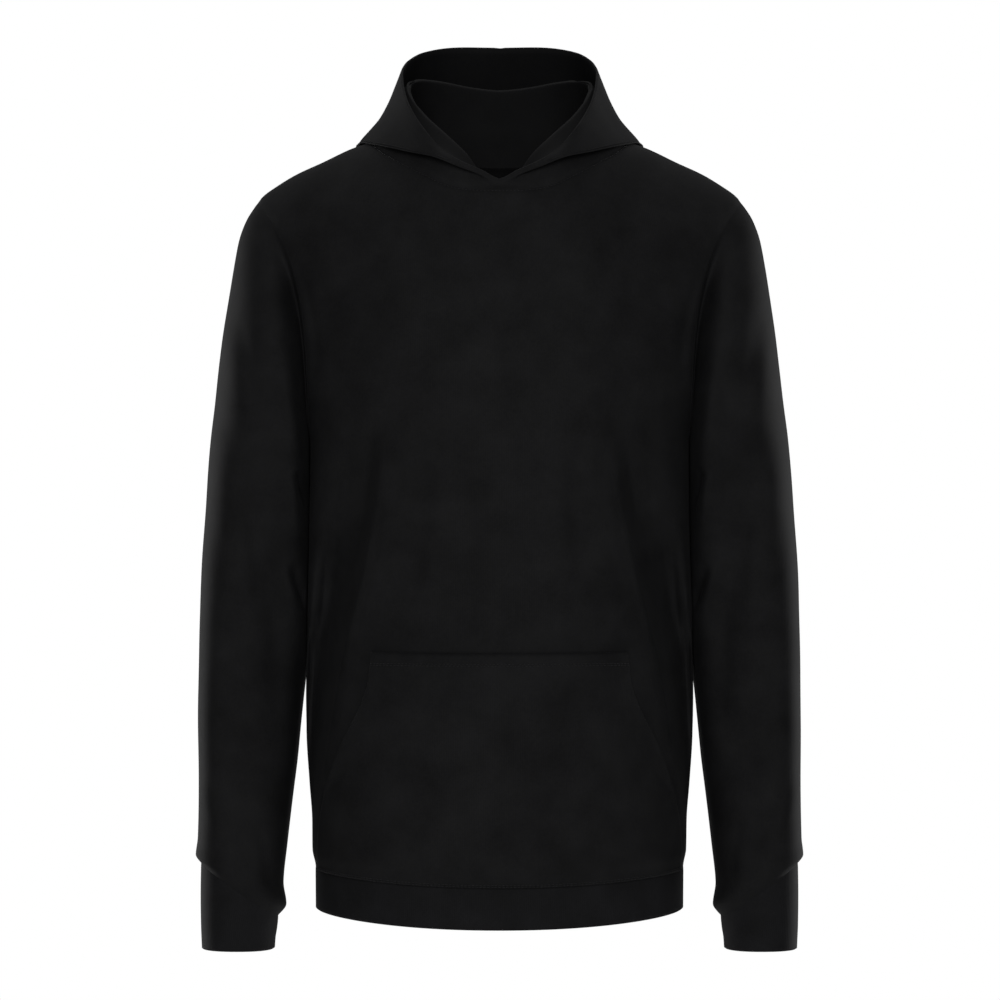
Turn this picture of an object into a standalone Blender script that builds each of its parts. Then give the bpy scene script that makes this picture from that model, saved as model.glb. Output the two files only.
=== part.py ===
"""A black pullover hoodie, filled out as if worn, with no wearer.

Every cut piece is a wall of cloth of its own: front, back, two sleeves, two cuffs, hem band,
kangaroo pocket and the two halves of the hood, which is worn down. Each is a grid of points on
its outer face, worked out from named sizes, and the inner face lies one cloth thickness behind.

+X is the wearer's left, -Y is the front and +Z is up. The origin is in the middle of the neck
opening, level with the shoulders. Sizes are in millimetres and become metres in the meshes.
"""

import bpy
import numpy as np

METRES = 0.001

# Cloth
WALL = 2.0  # a brushed sweatshirt knit
SEAM_GAP = 0.3  # between the edges of two pieces that are sewn together
CLEAR = 2.6  # between the sleeve and the body beside it
TUCK = 0.6  # how far a seam's mitre turns into a crease

# Body
ARMPIT_X, ARMPIT_Z = 171.5, -262.0
SHOULDER_X, SHOULDER_Y, SHOULDER_Z = 218.0, 8.0, -47.0
ARMHOLE_DEPTH = {"front": 68.0, "back": 74.0}
ARMHOLE_SHARE = 0.85  # the most of the body's depth that the armhole takes
ARMHOLE_CURL = 3.6  # how late the armhole turns out towards the shoulder
ARMHOLE_ROUND = 0.9  # exponent of the armhole's half circle
SQUARENESS = 2.4  # exponent of the body's oval sections
ROLL = {"front": 2.6, "back": 1.6}  # exponent of the turn from chest or back up to the neck
SHOULDER_ROLL = 2.1  # the same exponent at the shoulders, where front and back run into each other
ROLL_FROM, ROLL_TO = 70.0, 160.0  # across the body, where one exponent turns into the other
SIDE = {"front": -1.0, "back": 1.0}
HEM_Z = -643.0  # the hem seam at the sides
HEM_DIP = {"front": 9.0, "back": 2.25}  # how far it dips in the middle
BAND_HEIGHT = 36.5

# Below the armpit; above it the width follows from the armhole
BODY_WIDTH = {
    "height": (-690.0, -655.0, -641.0, -628.0, -600.0, -570.0, -520.0, -420.0, -320.0, -262.0),
    "half_width": (165.0, 165.2, 165.4, 167.6, 168.2, 170.5, 173.6, 173.8, 172.0, 171.5),
}
BODY_DEPTH = {
    "height": (-690.0, -655.0, -641.0, -628.0, -560.0, -430.0, -300.0, -200.0, -120.0, 0.0),
    "front": (112.0, 112.5, 113.0, 116.0, 120.0, 124.5, 126.0, 124.0, 121.0, 118.0),
    "back": (104.0, 104.5, 105.0, 108.0, 108.0, 100.0, 109.0, 118.0, 120.0, 120.0),
}
# The shoulder line, carried on past the neck point as the crown that the neck opening cuts off
SHOULDER = {
    "across": (0.0, 60.0, 100.0, 118.0, 134.6, 160.0, 183.0, 201.0, 213.0, 218.0),
    "height": (60.0, 38.0, 15.0, 7.0, 1.0, -11.0, -21.6, -32.4, -41.0, -47.0),
}
NECK_X = 118.0
NECK = {
    "across": (0.0, 16.0, 33.0, 50.0, 61.0, 78.0, 91.5, 105.0, 118.0),
    "front": (-43.3, -43.0, -41.5, -37.0, -31.0, -22.0, -14.0, -5.3, 7.0),
    "back": (-10.0, -9.8, -9.0, -7.5, -6.3, -3.5, -1.0, 2.2, 7.0),
}
NECK_STEPS = {"front": 8, "back": 6}
SHOULDER_STEPS = 4
ARMHOLE_STEPS = 12

# Kangaroo pocket
POCKET_TOP, POCKET_CORNER, POCKET_OPENING_END = -447.6, -475.0, -578.0
POCKET_COLUMN = 7  # the front's column that the pocket's side follows
POCKET_SIDE = {
    "height": (-643.0, -578.0, -545.0, -510.0, -475.0, -447.6, -400.0, -330.0, -262.0),
    "across": (0.937, 0.906, 0.826, 0.74, 0.655, 0.647, 0.69, 0.77, 0.825),
}
POCKET_PUFF, POCKET_FLATNESS = 8.5, 0.7  # how far it stands out, and how flat its middle is
OPENING_SHARE = 0.75  # of that puff, what the slanted openings keep
ROW_HEIGHTS = (
    HEM_Z,
    -612.0,
    POCKET_OPENING_END,
    -545.0,
    -510.0,
    POCKET_CORNER,
    POCKET_TOP,
    -400.0,
    -355.0,
    -308.0,
    ARMPIT_Z,
)
POCKET_ROWS = 7

# Body folds: soft troughs, each along a path down one side, mirrored on the other, which fade
# where the panel's depth falls under the least depth
LEAST_FOLDED_DEPTH = 40.0
FOLDS = (
    # (side of the body, depth, width, path as (across, height) from its upper end)
    ("front", 5.0, 16.0, ((96, -225), (116, -310), (125, -372), (150, -450), (163, -560))),
    ("front", 3.0, 12.0, ((82, -315), (76, -385))),
    ("back", 6.0, 20.0, ((60, -330), (105, -400), (148, -430))),
    ("back", 5.0, 16.0, ((50, -470), (110, -500), (150, -505))),
)

# Sleeve: rings from the armhole down to the cuff seam
SLEEVE_RINGS = {
    "outer_height": (
        *(-47, -62, -82, -108, -140, -178, -220, -268, -320),
        *(-374, -428, -482, -536, -584, -616, -631, -638),
    ),
    "inner_height": (
        *(-262, -269, -278, -290, -305, -324, -348, -378, -414),
        *(-454, -496, -540, -584, -625, -657, -676, -686),
    ),
    "middle_y": (8, 7, 6, 5, 4, 3, 2, 2, 2, 1, -2, -6, -11, -16, -20, -22, -23),
    "half_depth": (70, 74, 76, 77, 75, 71, 66, 60, 55, 51, 48, 46, 44, 41, 39, 36, 31),
}
SLEEVE_OUTER = {
    "height": (
        *(-638, -631, -616, -585, -495, -405, -315, -261),
        *(-225, -171, -135, -99, -81, -63, -47),
    ),
    "across": (
        *(266.5, 271.5, 270.0, 269.5, 270.5, 269.0, 264.0, 259.7),
        *(255.0, 249.0, 243.5, 238.0, 234.5, 228.0, 218.0),
    ),
}
SLEEVE_INNER = {
    "height": (-686, -676, -657, -625, -584, -540, -500, -454, -400, -262),
    "across": (197.5, 190.5, 193.5, 191.0, 187.0, 182.0, 177.5, 174.5, 174.0, 171.5),
}
SLEEVE_SQUARENESS = 2.25
BESIDE_BELOW = -110.0  # the height under which the sleeve is kept clear of the body
CLEAR_SLOPE = 0.2  # how fast that clearance grows with the distance from the armhole
ARMHOLE_FADE = 6  # rings over which the armhole's own shape turns into the sleeve's
HOLLOW_DEPTH, HOLLOW_REACH = 12.0, 17.0  # the sleeve's front is pressed in beside the armhole seam

# Cuff
CUFF_RINGS = {
    "outer_height": (-638.0, -664.0, -690.0, -714.0),
    "inner_height": (-686.0, -696.0, -706.0, -714.0),
    "outer_across": (266.5, 266.8, 266.5, 265.5),
    "inner_across": (197.5, 198.5, 200.0, 200.5),
    "middle_y": (-23.0, -24.0, -25.0, -26.0),
    "half_depth": (31.0, 30.5, 30.0, 30.0),
}

# Hood, worn down: at each column the cloth goes from the neck seam by the rise up to the crest,
# over and down the inner layer to the fold, and up the outer wall to the rim of the face opening.
HOOD_COLUMNS = {
    "crest_x": (0, 15.5, 30, 43, 52.5, 65, 75.5, 81, 81.5, 81, 77, 67, 50, 27, 0),
    "crest_y": (-94, -91, -84, -74, -65, -50, -30, -8, 12, 30, 45, 57, 66, 71, 73),
    "crest_z": (-39.5, -33, -13, 0.5, 10, 23, 38, 51, 59, 64, 67, 68, 66.5, 62.5, 60),
    "fold_x": (0, 16, 35, 50, 63, 81, 98, 114, 128, 128, 119, 104, 77, 41, 0),
    "fold_y": (-94.5, -92.5, -93, -92, -87, -75, -57, -30, 6, 34, 62, 88, 110, 127, 132),
    "fold_z": (-37.5, -31, -24, -17, -12, -7, -1, 5, 9, -6, -32, -62, -92, -117, -128),
    "rim_x": (0, 16, 34.5, 49.5, 60, 72.5, 81.5, 86, 88, 89, 88.5, 84, 72, 44, 0),
    "rim_y": (-93.5, -92, -93.5, -85, -78, -63, -44, -24, -2, 25, 55, 82, 102, 114, 118),
    "rim_z": (-34, -26.5, -18.5, -8, 3, 20, 37, 51, 64, 73, 81, 91, 100, 106, 106.5),
    "lean_in": (0, 0, 0, -1, -2, -3, -3.5, -4, -4.5, -3, 0, 3, 5, 5, 5),
    "drop_in": (0, 0, -1, -2, -3, -4, -5.5, -7, -8, -6, -3, 0, 0, 0, 0),
    "belly_out": (0, 0, 1, 1, 1, 0, -1.5, -2.5, -3, 0, 7, 15, 22, 27, 29),
    "fold_round": (0, 0, 0, 0, 0, 0, 0, 0.1, 0.2, 0.35, 0.5, 0.65, 0.8, 0.8, 0.8),
}
HOOD_CENTRE_Y = 10.0
HOOD_STEPS = (2, 2, 3, 4, 4, 3)  # intervals between these seven knots
CREST_KNOT, FOLD_KNOT = 2, 4
HOOD_CLEAR = 2.5  # between the hood's fold and the body it rests on

CLOTH_BLACK = (0.0085, 0.0085, 0.009)


def smooth(at, xs, ys):
    """A curve through the points (xs, ys): a cubic between neighbours that never overshoots them."""
    at, xs, ys = (np.asarray(a, float) for a in (at, xs, ys))
    width, rise = np.diff(xs), np.diff(ys)
    steep = rise / width
    both = steep[:-1] * steep[1:]
    total = np.where(both > 0, steep[:-1] + steep[1:], 1.0)
    slope = np.concatenate([steep[:1], np.where(both > 0, 2 * both / total, 0.0), steep[-1:]])
    k = np.clip(np.searchsorted(xs, at) - 1, 0, len(xs) - 2)
    t = np.clip((at - xs[k]) / width[k], 0, 1)
    curve = (2 * t**3 - 3 * t**2 + 1) * ys[k] + (3 * t**2 - 2 * t**3) * ys[k + 1]
    return curve + width[k] * ((t**3 - 2 * t**2 + t) * slope[k] + (t**3 - t**2) * slope[k + 1])


def ease(t):
    t = np.clip(t, 0, 1)
    return t * t * (3 - 2 * t)


def unit(vectors):
    return vectors / np.maximum(np.linalg.norm(vectors, axis=-1, keepdims=True), 1e-9)


def mirrored(points):
    return points * np.array([-1.0, 1.0, 1.0])


def oval(share, squareness):
    """What is left of a superellipse's depth at this share of its width."""
    return (1 - np.clip(np.abs(share), 0, 1) ** squareness) ** (1 / squareness)


# The body's form


def shoulder_height(x):
    return smooth(np.abs(x), *SHOULDER.values())


def middle_y(z):
    """Where front and back meet: at the side seams, and rising to the shoulder seams."""
    return SHOULDER_Y * ease((z - ARMPIT_Z) / (SHOULDER_Z - ARMPIT_Z))


def roll_power(x, side):
    out = ease((np.abs(x) - ROLL_FROM) / (ROLL_TO - ROLL_FROM))
    return ROLL[side] + (SHOULDER_ROLL - ROLL[side]) * out


def roll(x, z, side):
    """The share of its depth that the body keeps at a height, down to none at the shoulder seam."""
    up = np.clip((z - ARMPIT_Z) / (shoulder_height(x) - ARMPIT_Z), 0, 1)
    power = roll_power(x, side)
    return (1 - up**power) ** (1 / power)


def armhole(side):
    """The armhole's points on one side of the body, from the armpit up to the shoulder."""
    turn = np.pi * np.arange(ARMHOLE_STEPS + 1) / ARMHOLE_STEPS
    up = (1 - np.cos(turn)) / 2
    z = ARMPIT_Z + (SHOULDER_Z - ARMPIT_Z) * up
    x = ARMPIT_X + (SHOULDER_X - ARMPIT_X) * up**ARMHOLE_CURL
    wanted = ARMHOLE_DEPTH[side] * np.sin(turn) ** ARMHOLE_ROUND
    most = ARMHOLE_SHARE * depth(z, side) * roll(x, z, side) + 1e-6
    kept = wanted * most / (wanted**4 + most**4) ** 0.25
    return np.stack([x, middle_y(z) + SIDE[side] * kept, z], axis=1)


def depth(z, side):
    return smooth(z, BODY_DEPTH["height"], BODY_DEPTH[side])


def reach(z, side):
    """The half width of the oval section at each height: below the armpit the body's own, and
    above it the width whose oval passes through the armhole."""
    x, y, height = armhole(side)[1:-1].T
    kept = np.abs(y - middle_y(height)) / (depth(height, side) * roll(x, height, side))
    wide = x / oval(kept, SQUARENESS)
    heights = np.concatenate([BODY_WIDTH["height"], height])
    return smooth(z, heights, np.concatenate([BODY_WIDTH["half_width"], wide]))


def fold_depth(x, z, side):
    """How far the body's folds press its surface in: a soft trough round each path."""
    total = np.zeros(np.shape(x))
    for where, deep, wide, path in FOLDS:
        if where != side:
            continue
        path = np.array(path, float)[::-1]
        lowest, highest = path[0, 1], path[-1, 1]
        centre = smooth(z, path[:, 1], path[:, 0])
        along = np.clip((z - lowest) / (highest - lowest), 0, 1)
        total = total + deep * np.sin(np.pi * along) * np.exp(-(((np.abs(x) - centre) / wide) ** 2))
    return total


def body_y(x, z, side):
    """The body's surface: an oval section at each height, rolling over to the shoulder seam."""
    full = depth(z, side) * oval(np.abs(x) / reach(z, side), SQUARENESS) * roll(x, z, side)
    full = full - fold_depth(x, z, side) * np.clip(full / LEAST_FOLDED_DEPTH, 0, 1)
    return middle_y(z) + SIDE[side] * full


def body_half_width(y, z):
    """The half width of the body's oval section at a depth and height, carried on over the
    armhole's opening."""
    up = np.clip((z - ARMPIT_Z) / (SHOULDER_Z - ARMPIT_Z), 0, 1)
    edge_x = ARMPIT_X + (SHOULDER_X - ARMPIT_X) * up**ARMHOLE_CURL
    away = y - middle_y(z)
    width = []
    for side in ("front", "back"):
        full = np.maximum(depth(z, side) * roll(edge_x, z, side), 1e-3)
        width.append(reach(z, side) * oval(np.clip(away * SIDE[side] / full, 0, 1), SQUARENESS))
    return np.where(away < 0, *width)


def body_level(points):
    """Under 1 inside the body's form, 1 on its surface and over 1 outside it."""
    x, y, z = np.moveaxis(points, -1, 0)
    up = np.clip((z - ARMPIT_Z) / (shoulder_height(x) - ARMPIT_Z), 0, None)
    away = y - middle_y(z)
    level = []
    for side in ("front", "back"):
        full = depth(z, side) * oval(np.minimum(np.abs(x) / reach(z, side), 0.99), SQUARENESS)
        power = roll_power(x, side)
        level.append(((np.abs(away) / full) ** power + up**power) ** (1 / power))
    return np.where(away < 0, *level)


def clear_of_body(points, gap):
    """Moves points that are nearer to the body's surface than the gap straight out of it."""
    for _ in range(5):
        steps = 0.25 * np.eye(3)
        slope = [body_level(points + step) - body_level(points - step) for step in steps]
        slope = np.stack(slope, axis=-1)
        steep = np.linalg.norm(slope, axis=-1, keepdims=True)
        off = (body_level(points) - 1)[..., None] / (2 * steep)
        points = points + slope / steep * np.maximum(gap - off, 0)
    return points


# Pieces


class Piece:
    """A piece of cloth: a grid of points on its outer face, and which way is out at each."""

    def __init__(self, points, round_it=False, turned=False):
        self.points = points
        self.round_it = round_it
        self.face = self.normals() * (-1 if turned else 1)
        self.out = self.face.copy()
        self.nudge = np.zeros(points.shape)

    def normals(self):
        down = np.gradient(self.points, axis=0)
        if self.round_it:
            across = np.roll(self.points, -1, 1) - np.roll(self.points, 1, 1)
        else:
            across = np.gradient(self.points, axis=1)
        return unit(np.cross(across, down))

    def mirror(self):
        other = Piece.__new__(Piece)
        other.round_it = self.round_it
        for name in ("points", "face", "out", "nudge"):
            setattr(other, name, mirrored(getattr(self, name)))
        return other


def edge(piece, rows, columns, inward):
    """Part of a piece's edge: its index, and the step that leads from it into the piece."""
    rows, columns = np.broadcast_arrays(rows, columns)
    inside = piece.points[rows + inward[0], columns + inward[1]]
    into = unit(inside - piece.points[rows, columns])
    return piece, (rows, columns), into


def square_to(vectors, along):
    return vectors - along * np.sum(vectors * along, axis=-1, keepdims=True)


def sew(first, second, towards):
    """Gives two edges with the same points one mitre, and draws each back half the seam gap.
    towards points from the first piece to the second."""
    (one, at_one, into_one), (two, at_two, into_two) = first, second
    along = unit(np.gradient(one.points[at_one], axis=0))
    into = unit(square_to(into_one, along)) + unit(square_to(into_two, along))
    out = unit(square_to(one.face[at_one] + two.face[at_two] + TUCK * into, along))
    across = unit(np.cross(out, along))
    across *= np.sign(np.sum(across * np.array(towards), axis=-1, keepdims=True))
    one.out[at_one] = out
    two.out[at_two] = out
    one.nudge[at_one] -= across * SEAM_GAP / 2
    two.nudge[at_two] += across * SEAM_GAP / 2


def share_corner(*corners, out=None):
    """Gives the corners of three or more pieces that meet in one point the same way out."""
    if out is None:
        out = unit(sum(piece.face[at] for piece, at in corners))
    for piece, at in corners:
        piece.out[at] = out


def body_columns(side):
    """Each column's share of the body's width at the armpit, from the centre to the side seam."""
    count = NECK_STEPS[side] + SHOULDER_STEPS
    return np.sin(np.pi / 2 * np.arange(count + 1) / count) ** (2 / SQUARENESS)


def column_shares(z, side):
    """The columns' shares at other heights. On the front they follow the pocket's side."""
    share = body_columns(side)
    if side == "back":
        return np.broadcast_to(share, (len(z), len(share)))
    pocket = share[POCKET_COLUMN]
    here = smooth(z, POCKET_SIDE["height"], POCKET_SIDE["across"])[:, None]
    inside = here * share / pocket
    outside = 1 - (1 - share) * (1 - here) / (1 - pocket)
    return np.where(np.arange(len(share)) <= POCKET_COLUMN, inside, outside)


def half_panel(side):
    """One half of the front or back as (x, z): level rows up to the armpit, and above it rows
    blended between the armhole, the centre line, the neck opening and the shoulder seam."""
    rows = np.array(ROW_HEIGHTS)
    share = column_shares(rows, side)
    down = ((ARMPIT_Z - rows) / (ARMPIT_Z - HEM_Z))[:, None]
    z_low = rows[:, None] - HEM_DIP[side] * down**6 * (1 - share**2)
    x_low = share * smooth(z_low, *BODY_WIDTH.values())

    count = NECK_STEPS[side] + SHOULDER_STEPS
    neck_x = NECK_X * np.sin(np.pi / 2 * np.arange(NECK_STEPS[side] + 1) / NECK_STEPS[side])
    neck = np.stack([neck_x, smooth(neck_x, NECK["across"], NECK[side])], axis=1)
    seam_x = np.linspace(NECK_X, SHOULDER_X, SHOULDER_STEPS + 1)[1:]
    seam = np.stack([seam_x, shoulder_height(seam_x)], axis=1)
    top = np.concatenate([neck, seam])

    low = np.stack([x_low[-1], z_low[-1]], axis=1)
    hole = armhole(side)[:, [0, 2]]
    up = ((hole[:, 1] - ARMPIT_Z) / (SHOULDER_Z - ARMPIT_Z))[:, None, None]
    centre = low[0] + (top[0] - low[0]) * up[:, 0]
    over = ((np.arange(count + 1) / count) ** 2)[None, :, None]
    high = (1 - up) * low + up * top + (1 - over) * centre[:, None] + over * hole[:, None]
    high -= (1 - over) * ((1 - up) * low[0] + up * top[0]) + over * ((1 - up) * low[-1] + up * top[-1])
    lower = np.stack([x_low, z_low], axis=2)
    return np.concatenate([lower, high[1:]])


def body_panel(side):
    """The front or back: both halves in one grid, with rows from hem to shoulder."""
    half = half_panel(side)
    flat = np.concatenate([half[:, :0:-1] * np.array([-1.0, 1.0]), half], axis=1)
    x, z = flat[..., 0], flat[..., 1]
    points = np.stack([x, body_y(x, z, side), z], axis=2)
    return Piece(points, turned=side == "back")


def ring(outer, inner, half_depth, turn, squareness):
    """Rings that hang between an outer and an inner point, each a superellipse."""
    power = 2 / squareness
    cos = np.sign(np.cos(turn)) * np.abs(np.cos(turn)) ** power
    sin = np.sign(np.sin(turn)) * np.abs(np.sin(turn)) ** power
    middle, half = (outer + inner) / 2, (outer - inner) / 2
    points = middle[:, None] + half[:, None] * cos[None, :, None]
    points[..., 1] -= half_depth[:, None] * sin
    return points


def ring_turn():
    """The angle of each point round a sleeve: 0 outside, a quarter in front, a half inside."""
    return np.pi * np.arange(2 * ARMHOLE_STEPS) / ARMHOLE_STEPS


def sleeve():
    """The wearer's left sleeve: rings from the armhole's own points down to the cuff seam."""
    size = {name: np.array(column, float) for name, column in SLEEVE_RINGS.items()}
    turn = ring_turn()
    outer_z, inner_z, middle = size["outer_height"], size["inner_height"], size["middle_y"]
    outer = np.stack([smooth(outer_z, *SLEEVE_OUTER.values()), middle, outer_z], axis=1)
    inner = np.stack([smooth(inner_z, *SLEEVE_INNER.values()), middle, inner_z], axis=1)
    inner[0, 1] = 0.0
    points = ring(outer, inner, size["half_depth"], turn, SLEEVE_SQUARENESS)

    front, back = armhole("front")[::-1], armhole("back")
    seam = np.concatenate([front, back[1:-1]])
    fade = ease(1 - np.arange(len(points)) / ARMHOLE_FADE)[:, None, None]
    points = points + fade * (seam - points[0])

    away = np.linalg.norm(points - points[0], axis=2)
    in_front = np.clip(np.sin(turn), 0, 1) ** 2
    points[..., 1] += HOLLOW_DEPTH * in_front * (away / HOLLOW_REACH) * np.exp(1 - away / HOLLOW_REACH)

    x, y, z = np.moveaxis(points, 2, 0)
    clear = np.minimum(CLEAR, away * CLEAR_SLOPE)
    beside = np.where(z < BESIDE_BELOW, body_half_width(y, z) + clear, 0)
    x[1:] = np.maximum(x, beside)[1:]
    return Piece(points, round_it=True)


def cuff(sleeve_end):
    """The wearer's left cuff, from the sleeve's last ring down to its level lower edge."""
    size = {name: np.array(column) for name, column in CUFF_RINGS.items()}
    outer = np.stack([size["outer_across"], size["middle_y"], size["outer_height"]], axis=1)
    inner = np.stack([size["inner_across"], size["middle_y"], size["inner_height"]], axis=1)
    points = ring(outer, inner, size["half_depth"], ring_turn(), SLEEVE_SQUARENESS)
    points[0] = sleeve_end
    return Piece(points, round_it=True)


def hem_band(front, back):
    """The band round the hem: from the panels' lower edges down, in one ring."""
    top = np.concatenate([front.points[0], back.points[0, -2:0:-1]])
    rings = [top]
    for down in (0.5, 1.0):
        z = top[:, 2] - down * BAND_HEIGHT
        x = top[:, 0] * smooth(z, *BODY_WIDTH.values()) / smooth(top[:, 2], *BODY_WIDTH.values())
        side_depth = np.where(
            top[:, 1] < 0,
            depth(z, "front") / depth(top[:, 2], "front"),
            depth(z, "back") / depth(top[:, 2], "back"),
        )
        rings.append(np.stack([x, top[:, 1] * side_depth, z], axis=1))
    return Piece(np.array(rings), round_it=True, turned=True)


def pocket(front):
    """The kangaroo pocket: the front's own points, moved out by the gap, the cloth and the puff
    of the pocket, which is sewn down at its top, its foot and its short sides."""
    middle = front.points.shape[1] // 2
    columns = slice(middle - POCKET_COLUMN, middle + POCKET_COLUMN + 1)
    base, out = front.points[:POCKET_ROWS, columns], front.face[:POCKET_ROWS, columns]
    row = np.linspace(0, 1, POCKET_ROWS)[:, None]
    column = np.linspace(-1, 1, 2 * POCKET_COLUMN + 1)[None, :]
    z = base[..., 2]
    half_opening = (POCKET_CORNER - POCKET_OPENING_END) / 2
    opening = np.clip((z - POCKET_OPENING_END) * (POCKET_CORNER - z) / half_opening**2, 0, 1)
    held_side = np.maximum(1 - column**6, OPENING_SHARE * opening)
    puff = POCKET_PUFF * np.sin(np.pi * row) ** POCKET_FLATNESS * held_side
    puff[[0, -1]] = 0.0
    moved = base + out * (SEAM_GAP + WALL + puff)[..., None]
    piece = Piece(moved)
    piece.out = out.copy()
    piece.nudge[0, :, 2] += SEAM_GAP
    return piece


def hood(front, back):
    """The wearer's left half of the hood: columns round the neck from centre front to centre
    back, each a curve through the seven knots."""
    size = {name: np.array(column, float) for name, column in HOOD_COLUMNS.items()}
    mid_front, mid_back = front.points.shape[1] // 2, back.points.shape[1] // 2
    neck_front = front.points[-1, mid_front : mid_front + NECK_STEPS["front"] + 1]
    neck_back = back.points[-1, mid_back : mid_back + NECK_STEPS["back"]][::-1]
    neck = np.concatenate([neck_front, neck_back])
    crest, fold, rim = (
        np.stack([size[line + axis] for axis in ("_x", "_y", "_z")], axis=1)
        for line in ("crest", "fold", "rim")
    )
    away = (crest + fold) / 2 - np.array([0.0, HOOD_CENTRE_Y, 0.0])
    away[:, 2] = 0
    away[0], away[-1] = (0, -1, 0), (0, 1, 0)
    away = unit(away)
    rise = (neck + crest) / 2 + away * size["lean_in"][:, None]
    inner = (crest + fold) / 2 + np.array([0.0, 0.0, 1.0]) * size["drop_in"][:, None]
    outer = (fold + rim) / 2 + away * size["belly_out"][:, None]
    knots = np.stack([neck, rise, crest, inner, fold, outer, rim])
    points = section(knots, size["fold_round"])
    crest_row = sum(HOOD_STEPS[:CREST_KNOT])
    points[crest_row:] = clear_of_body(points[crest_row:], HOOD_CLEAR)
    points[:, [0, -1], 0] = 0.0
    return Piece(points)


def section(knots, fold_round):
    """Rows along each column's curve: cubics from knot to knot, whose directions at a knot are
    the mean of the straight ways to its neighbours. The fold's is drawn out to round it."""
    straight = np.diff(knots, axis=0)
    length = np.linalg.norm(straight, axis=2, keepdims=True)
    way = straight / np.maximum(length, 1e-6)
    turn = np.concatenate([way[:1], (way[:-1] + way[1:]) / 2, way[-1:]])
    fold = turn[FOLD_KNOT]
    turn[FOLD_KNOT] = unit(fold) * np.maximum(np.linalg.norm(fold, axis=1), fold_round)[:, None]
    rows = [knots[:1]]
    for k, count in enumerate(HOOD_STEPS):
        t = (np.arange(1, count + 1) / count)[:, None, None]
        a, b = knots[k], knots[k + 1]
        curve = (2 * t**3 - 3 * t**2 + 1) * a + (3 * t**2 - 2 * t**3) * b
        curve = curve + length[k] * ((t**3 - 2 * t**2 + t) * turn[k] + (t**3 - t**2) * turn[k + 1])
        rows.append(curve)
    return np.concatenate(rows)


# Meshes


def faces_of(rows, columns, round_it, first, flip_from):
    """Two triangles for each cell of a grid, with the diagonal turned round past a column."""
    cells = (rows - 1, columns if round_it else columns - 1)
    i, j = (index.ravel() for index in np.indices(cells))
    k = (j + 1) % columns
    corners = ((i, j), (i, k), (i + 1, k), (i + 1, j))
    a, b, c, d = (first + row * columns + column for row, column in corners)
    one_way = np.stack([a, b, c, a, c, d], axis=1)
    other_way = np.stack([a, b, d, b, c, d], axis=1)
    return np.where((j >= flip_from)[:, None], other_way, one_way).reshape(-1, 3)


def rim_faces(outside, offset, closed):
    """The narrow faces that join the outer and inner faces along an edge of the cloth."""
    a, b = outside, np.roll(outside, -1)
    if not closed:
        a, b = a[:-1], b[:-1]
    return np.stack([a, a + offset, b + offset, a, b + offset, b], axis=1).reshape(-1, 3)


def cloth(name, piece, flip_from=10**6):
    """Makes the object: outer face, inner face one wall behind it, and the rims between."""
    rows, columns = piece.points.shape[:2]
    outer = piece.points + piece.nudge
    inner = outer - WALL * piece.out
    count = rows * columns
    index = np.arange(count).reshape(rows, columns)
    skin = faces_of(rows, columns, piece.round_it, 0, flip_from)
    back_skin = skin[:, ::-1] + count
    if piece.round_it:
        rims = [rim_faces(index[0], count, True), rim_faces(index[-1], count, True)[:, ::-1]]
    else:
        border = np.concatenate([index[0], index[1:, -1], index[-1, -2::-1], index[-2:0:-1, 0]])
        rims = [rim_faces(border, count, True)]
    faces = np.concatenate([skin, back_skin, *rims])
    points = np.concatenate([outer.reshape(-1, 3), inner.reshape(-1, 3)]) * METRES
    a, b, c = (points[faces[:, k]] for k in range(3))
    if np.sum(a * np.cross(b, c)) < 0:
        faces = faces[:, ::-1]

    mesh = bpy.data.meshes.new(name)
    mesh.from_pydata(points.tolist(), [], faces.tolist())
    mesh.shade_smooth()
    mesh.set_sharp_from_angle(angle=np.radians(50))
    mesh.materials.append(knit(name))
    piece_object = bpy.data.objects.new(name, mesh)
    bpy.context.scene.collection.objects.link(piece_object)
    return piece_object


def knit(name):
    """Black sweatshirt knit: matt, with no metal in it."""
    material = bpy.data.materials.new(name + "_cloth")
    material.use_nodes = True
    shader = material.node_tree.nodes["Principled BSDF"]
    shader.inputs["Base Color"].default_value = (*CLOTH_BLACK, 1)
    shader.inputs["Roughness"].default_value = 0.9
    shader.inputs["Metallic"].default_value = 0
    return material


def sew_body(front, back, left_sleeve, right_sleeve):
    """Side seams, shoulder seams and armholes."""
    low = len(ROW_HEIGHTS)
    sides = np.arange(low)
    top = front.points.shape[0] - 1
    last = {"front": front.points.shape[1] - 1, "back": back.points.shape[1] - 1}
    holes = np.arange(low - 1, top + 1)
    for way, at in ((1, -1), (-1, 0)):
        column = {side: last[side] if way > 0 else 0 for side in last}
        sew(
            edge(front, sides, column["front"], (0, -way)),
            edge(back, sides, column["back"], (0, -way)),
            (0, 1, 0),
        )
        along = np.arange(SHOULDER_STEPS + 1)
        sew(
            edge(front, top, column["front"] - way * along, (-1, 0)),
            edge(back, top, column["back"] - way * along, (-1, 0)),
            (0, 1, 0),
        )
        arm = left_sleeve if way > 0 else right_sleeve
        down = np.arange(ARMHOLE_STEPS, -1, -1)
        sew(edge(front, holes, column["front"], (0, -way)), edge(arm, 0, down, (1, 0)), (way, 0, 0))
        up = (ARMHOLE_STEPS + np.arange(ARMHOLE_STEPS + 1)) % (2 * ARMHOLE_STEPS)
        sew(edge(back, holes, column["back"], (0, -way)), edge(arm, 0, up, (1, 0)), (way, 0, 0))
        share_corner(
            (front, (low - 1, column["front"])),
            (back, (low - 1, column["back"])),
            (arm, (0, ARMHOLE_STEPS)),
            out=np.array([0.0, 0.0, -1.0]),
        )
        share_corner((front, (top, column["front"])), (back, (top, column["back"])), (arm, (0, 0)))


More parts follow.
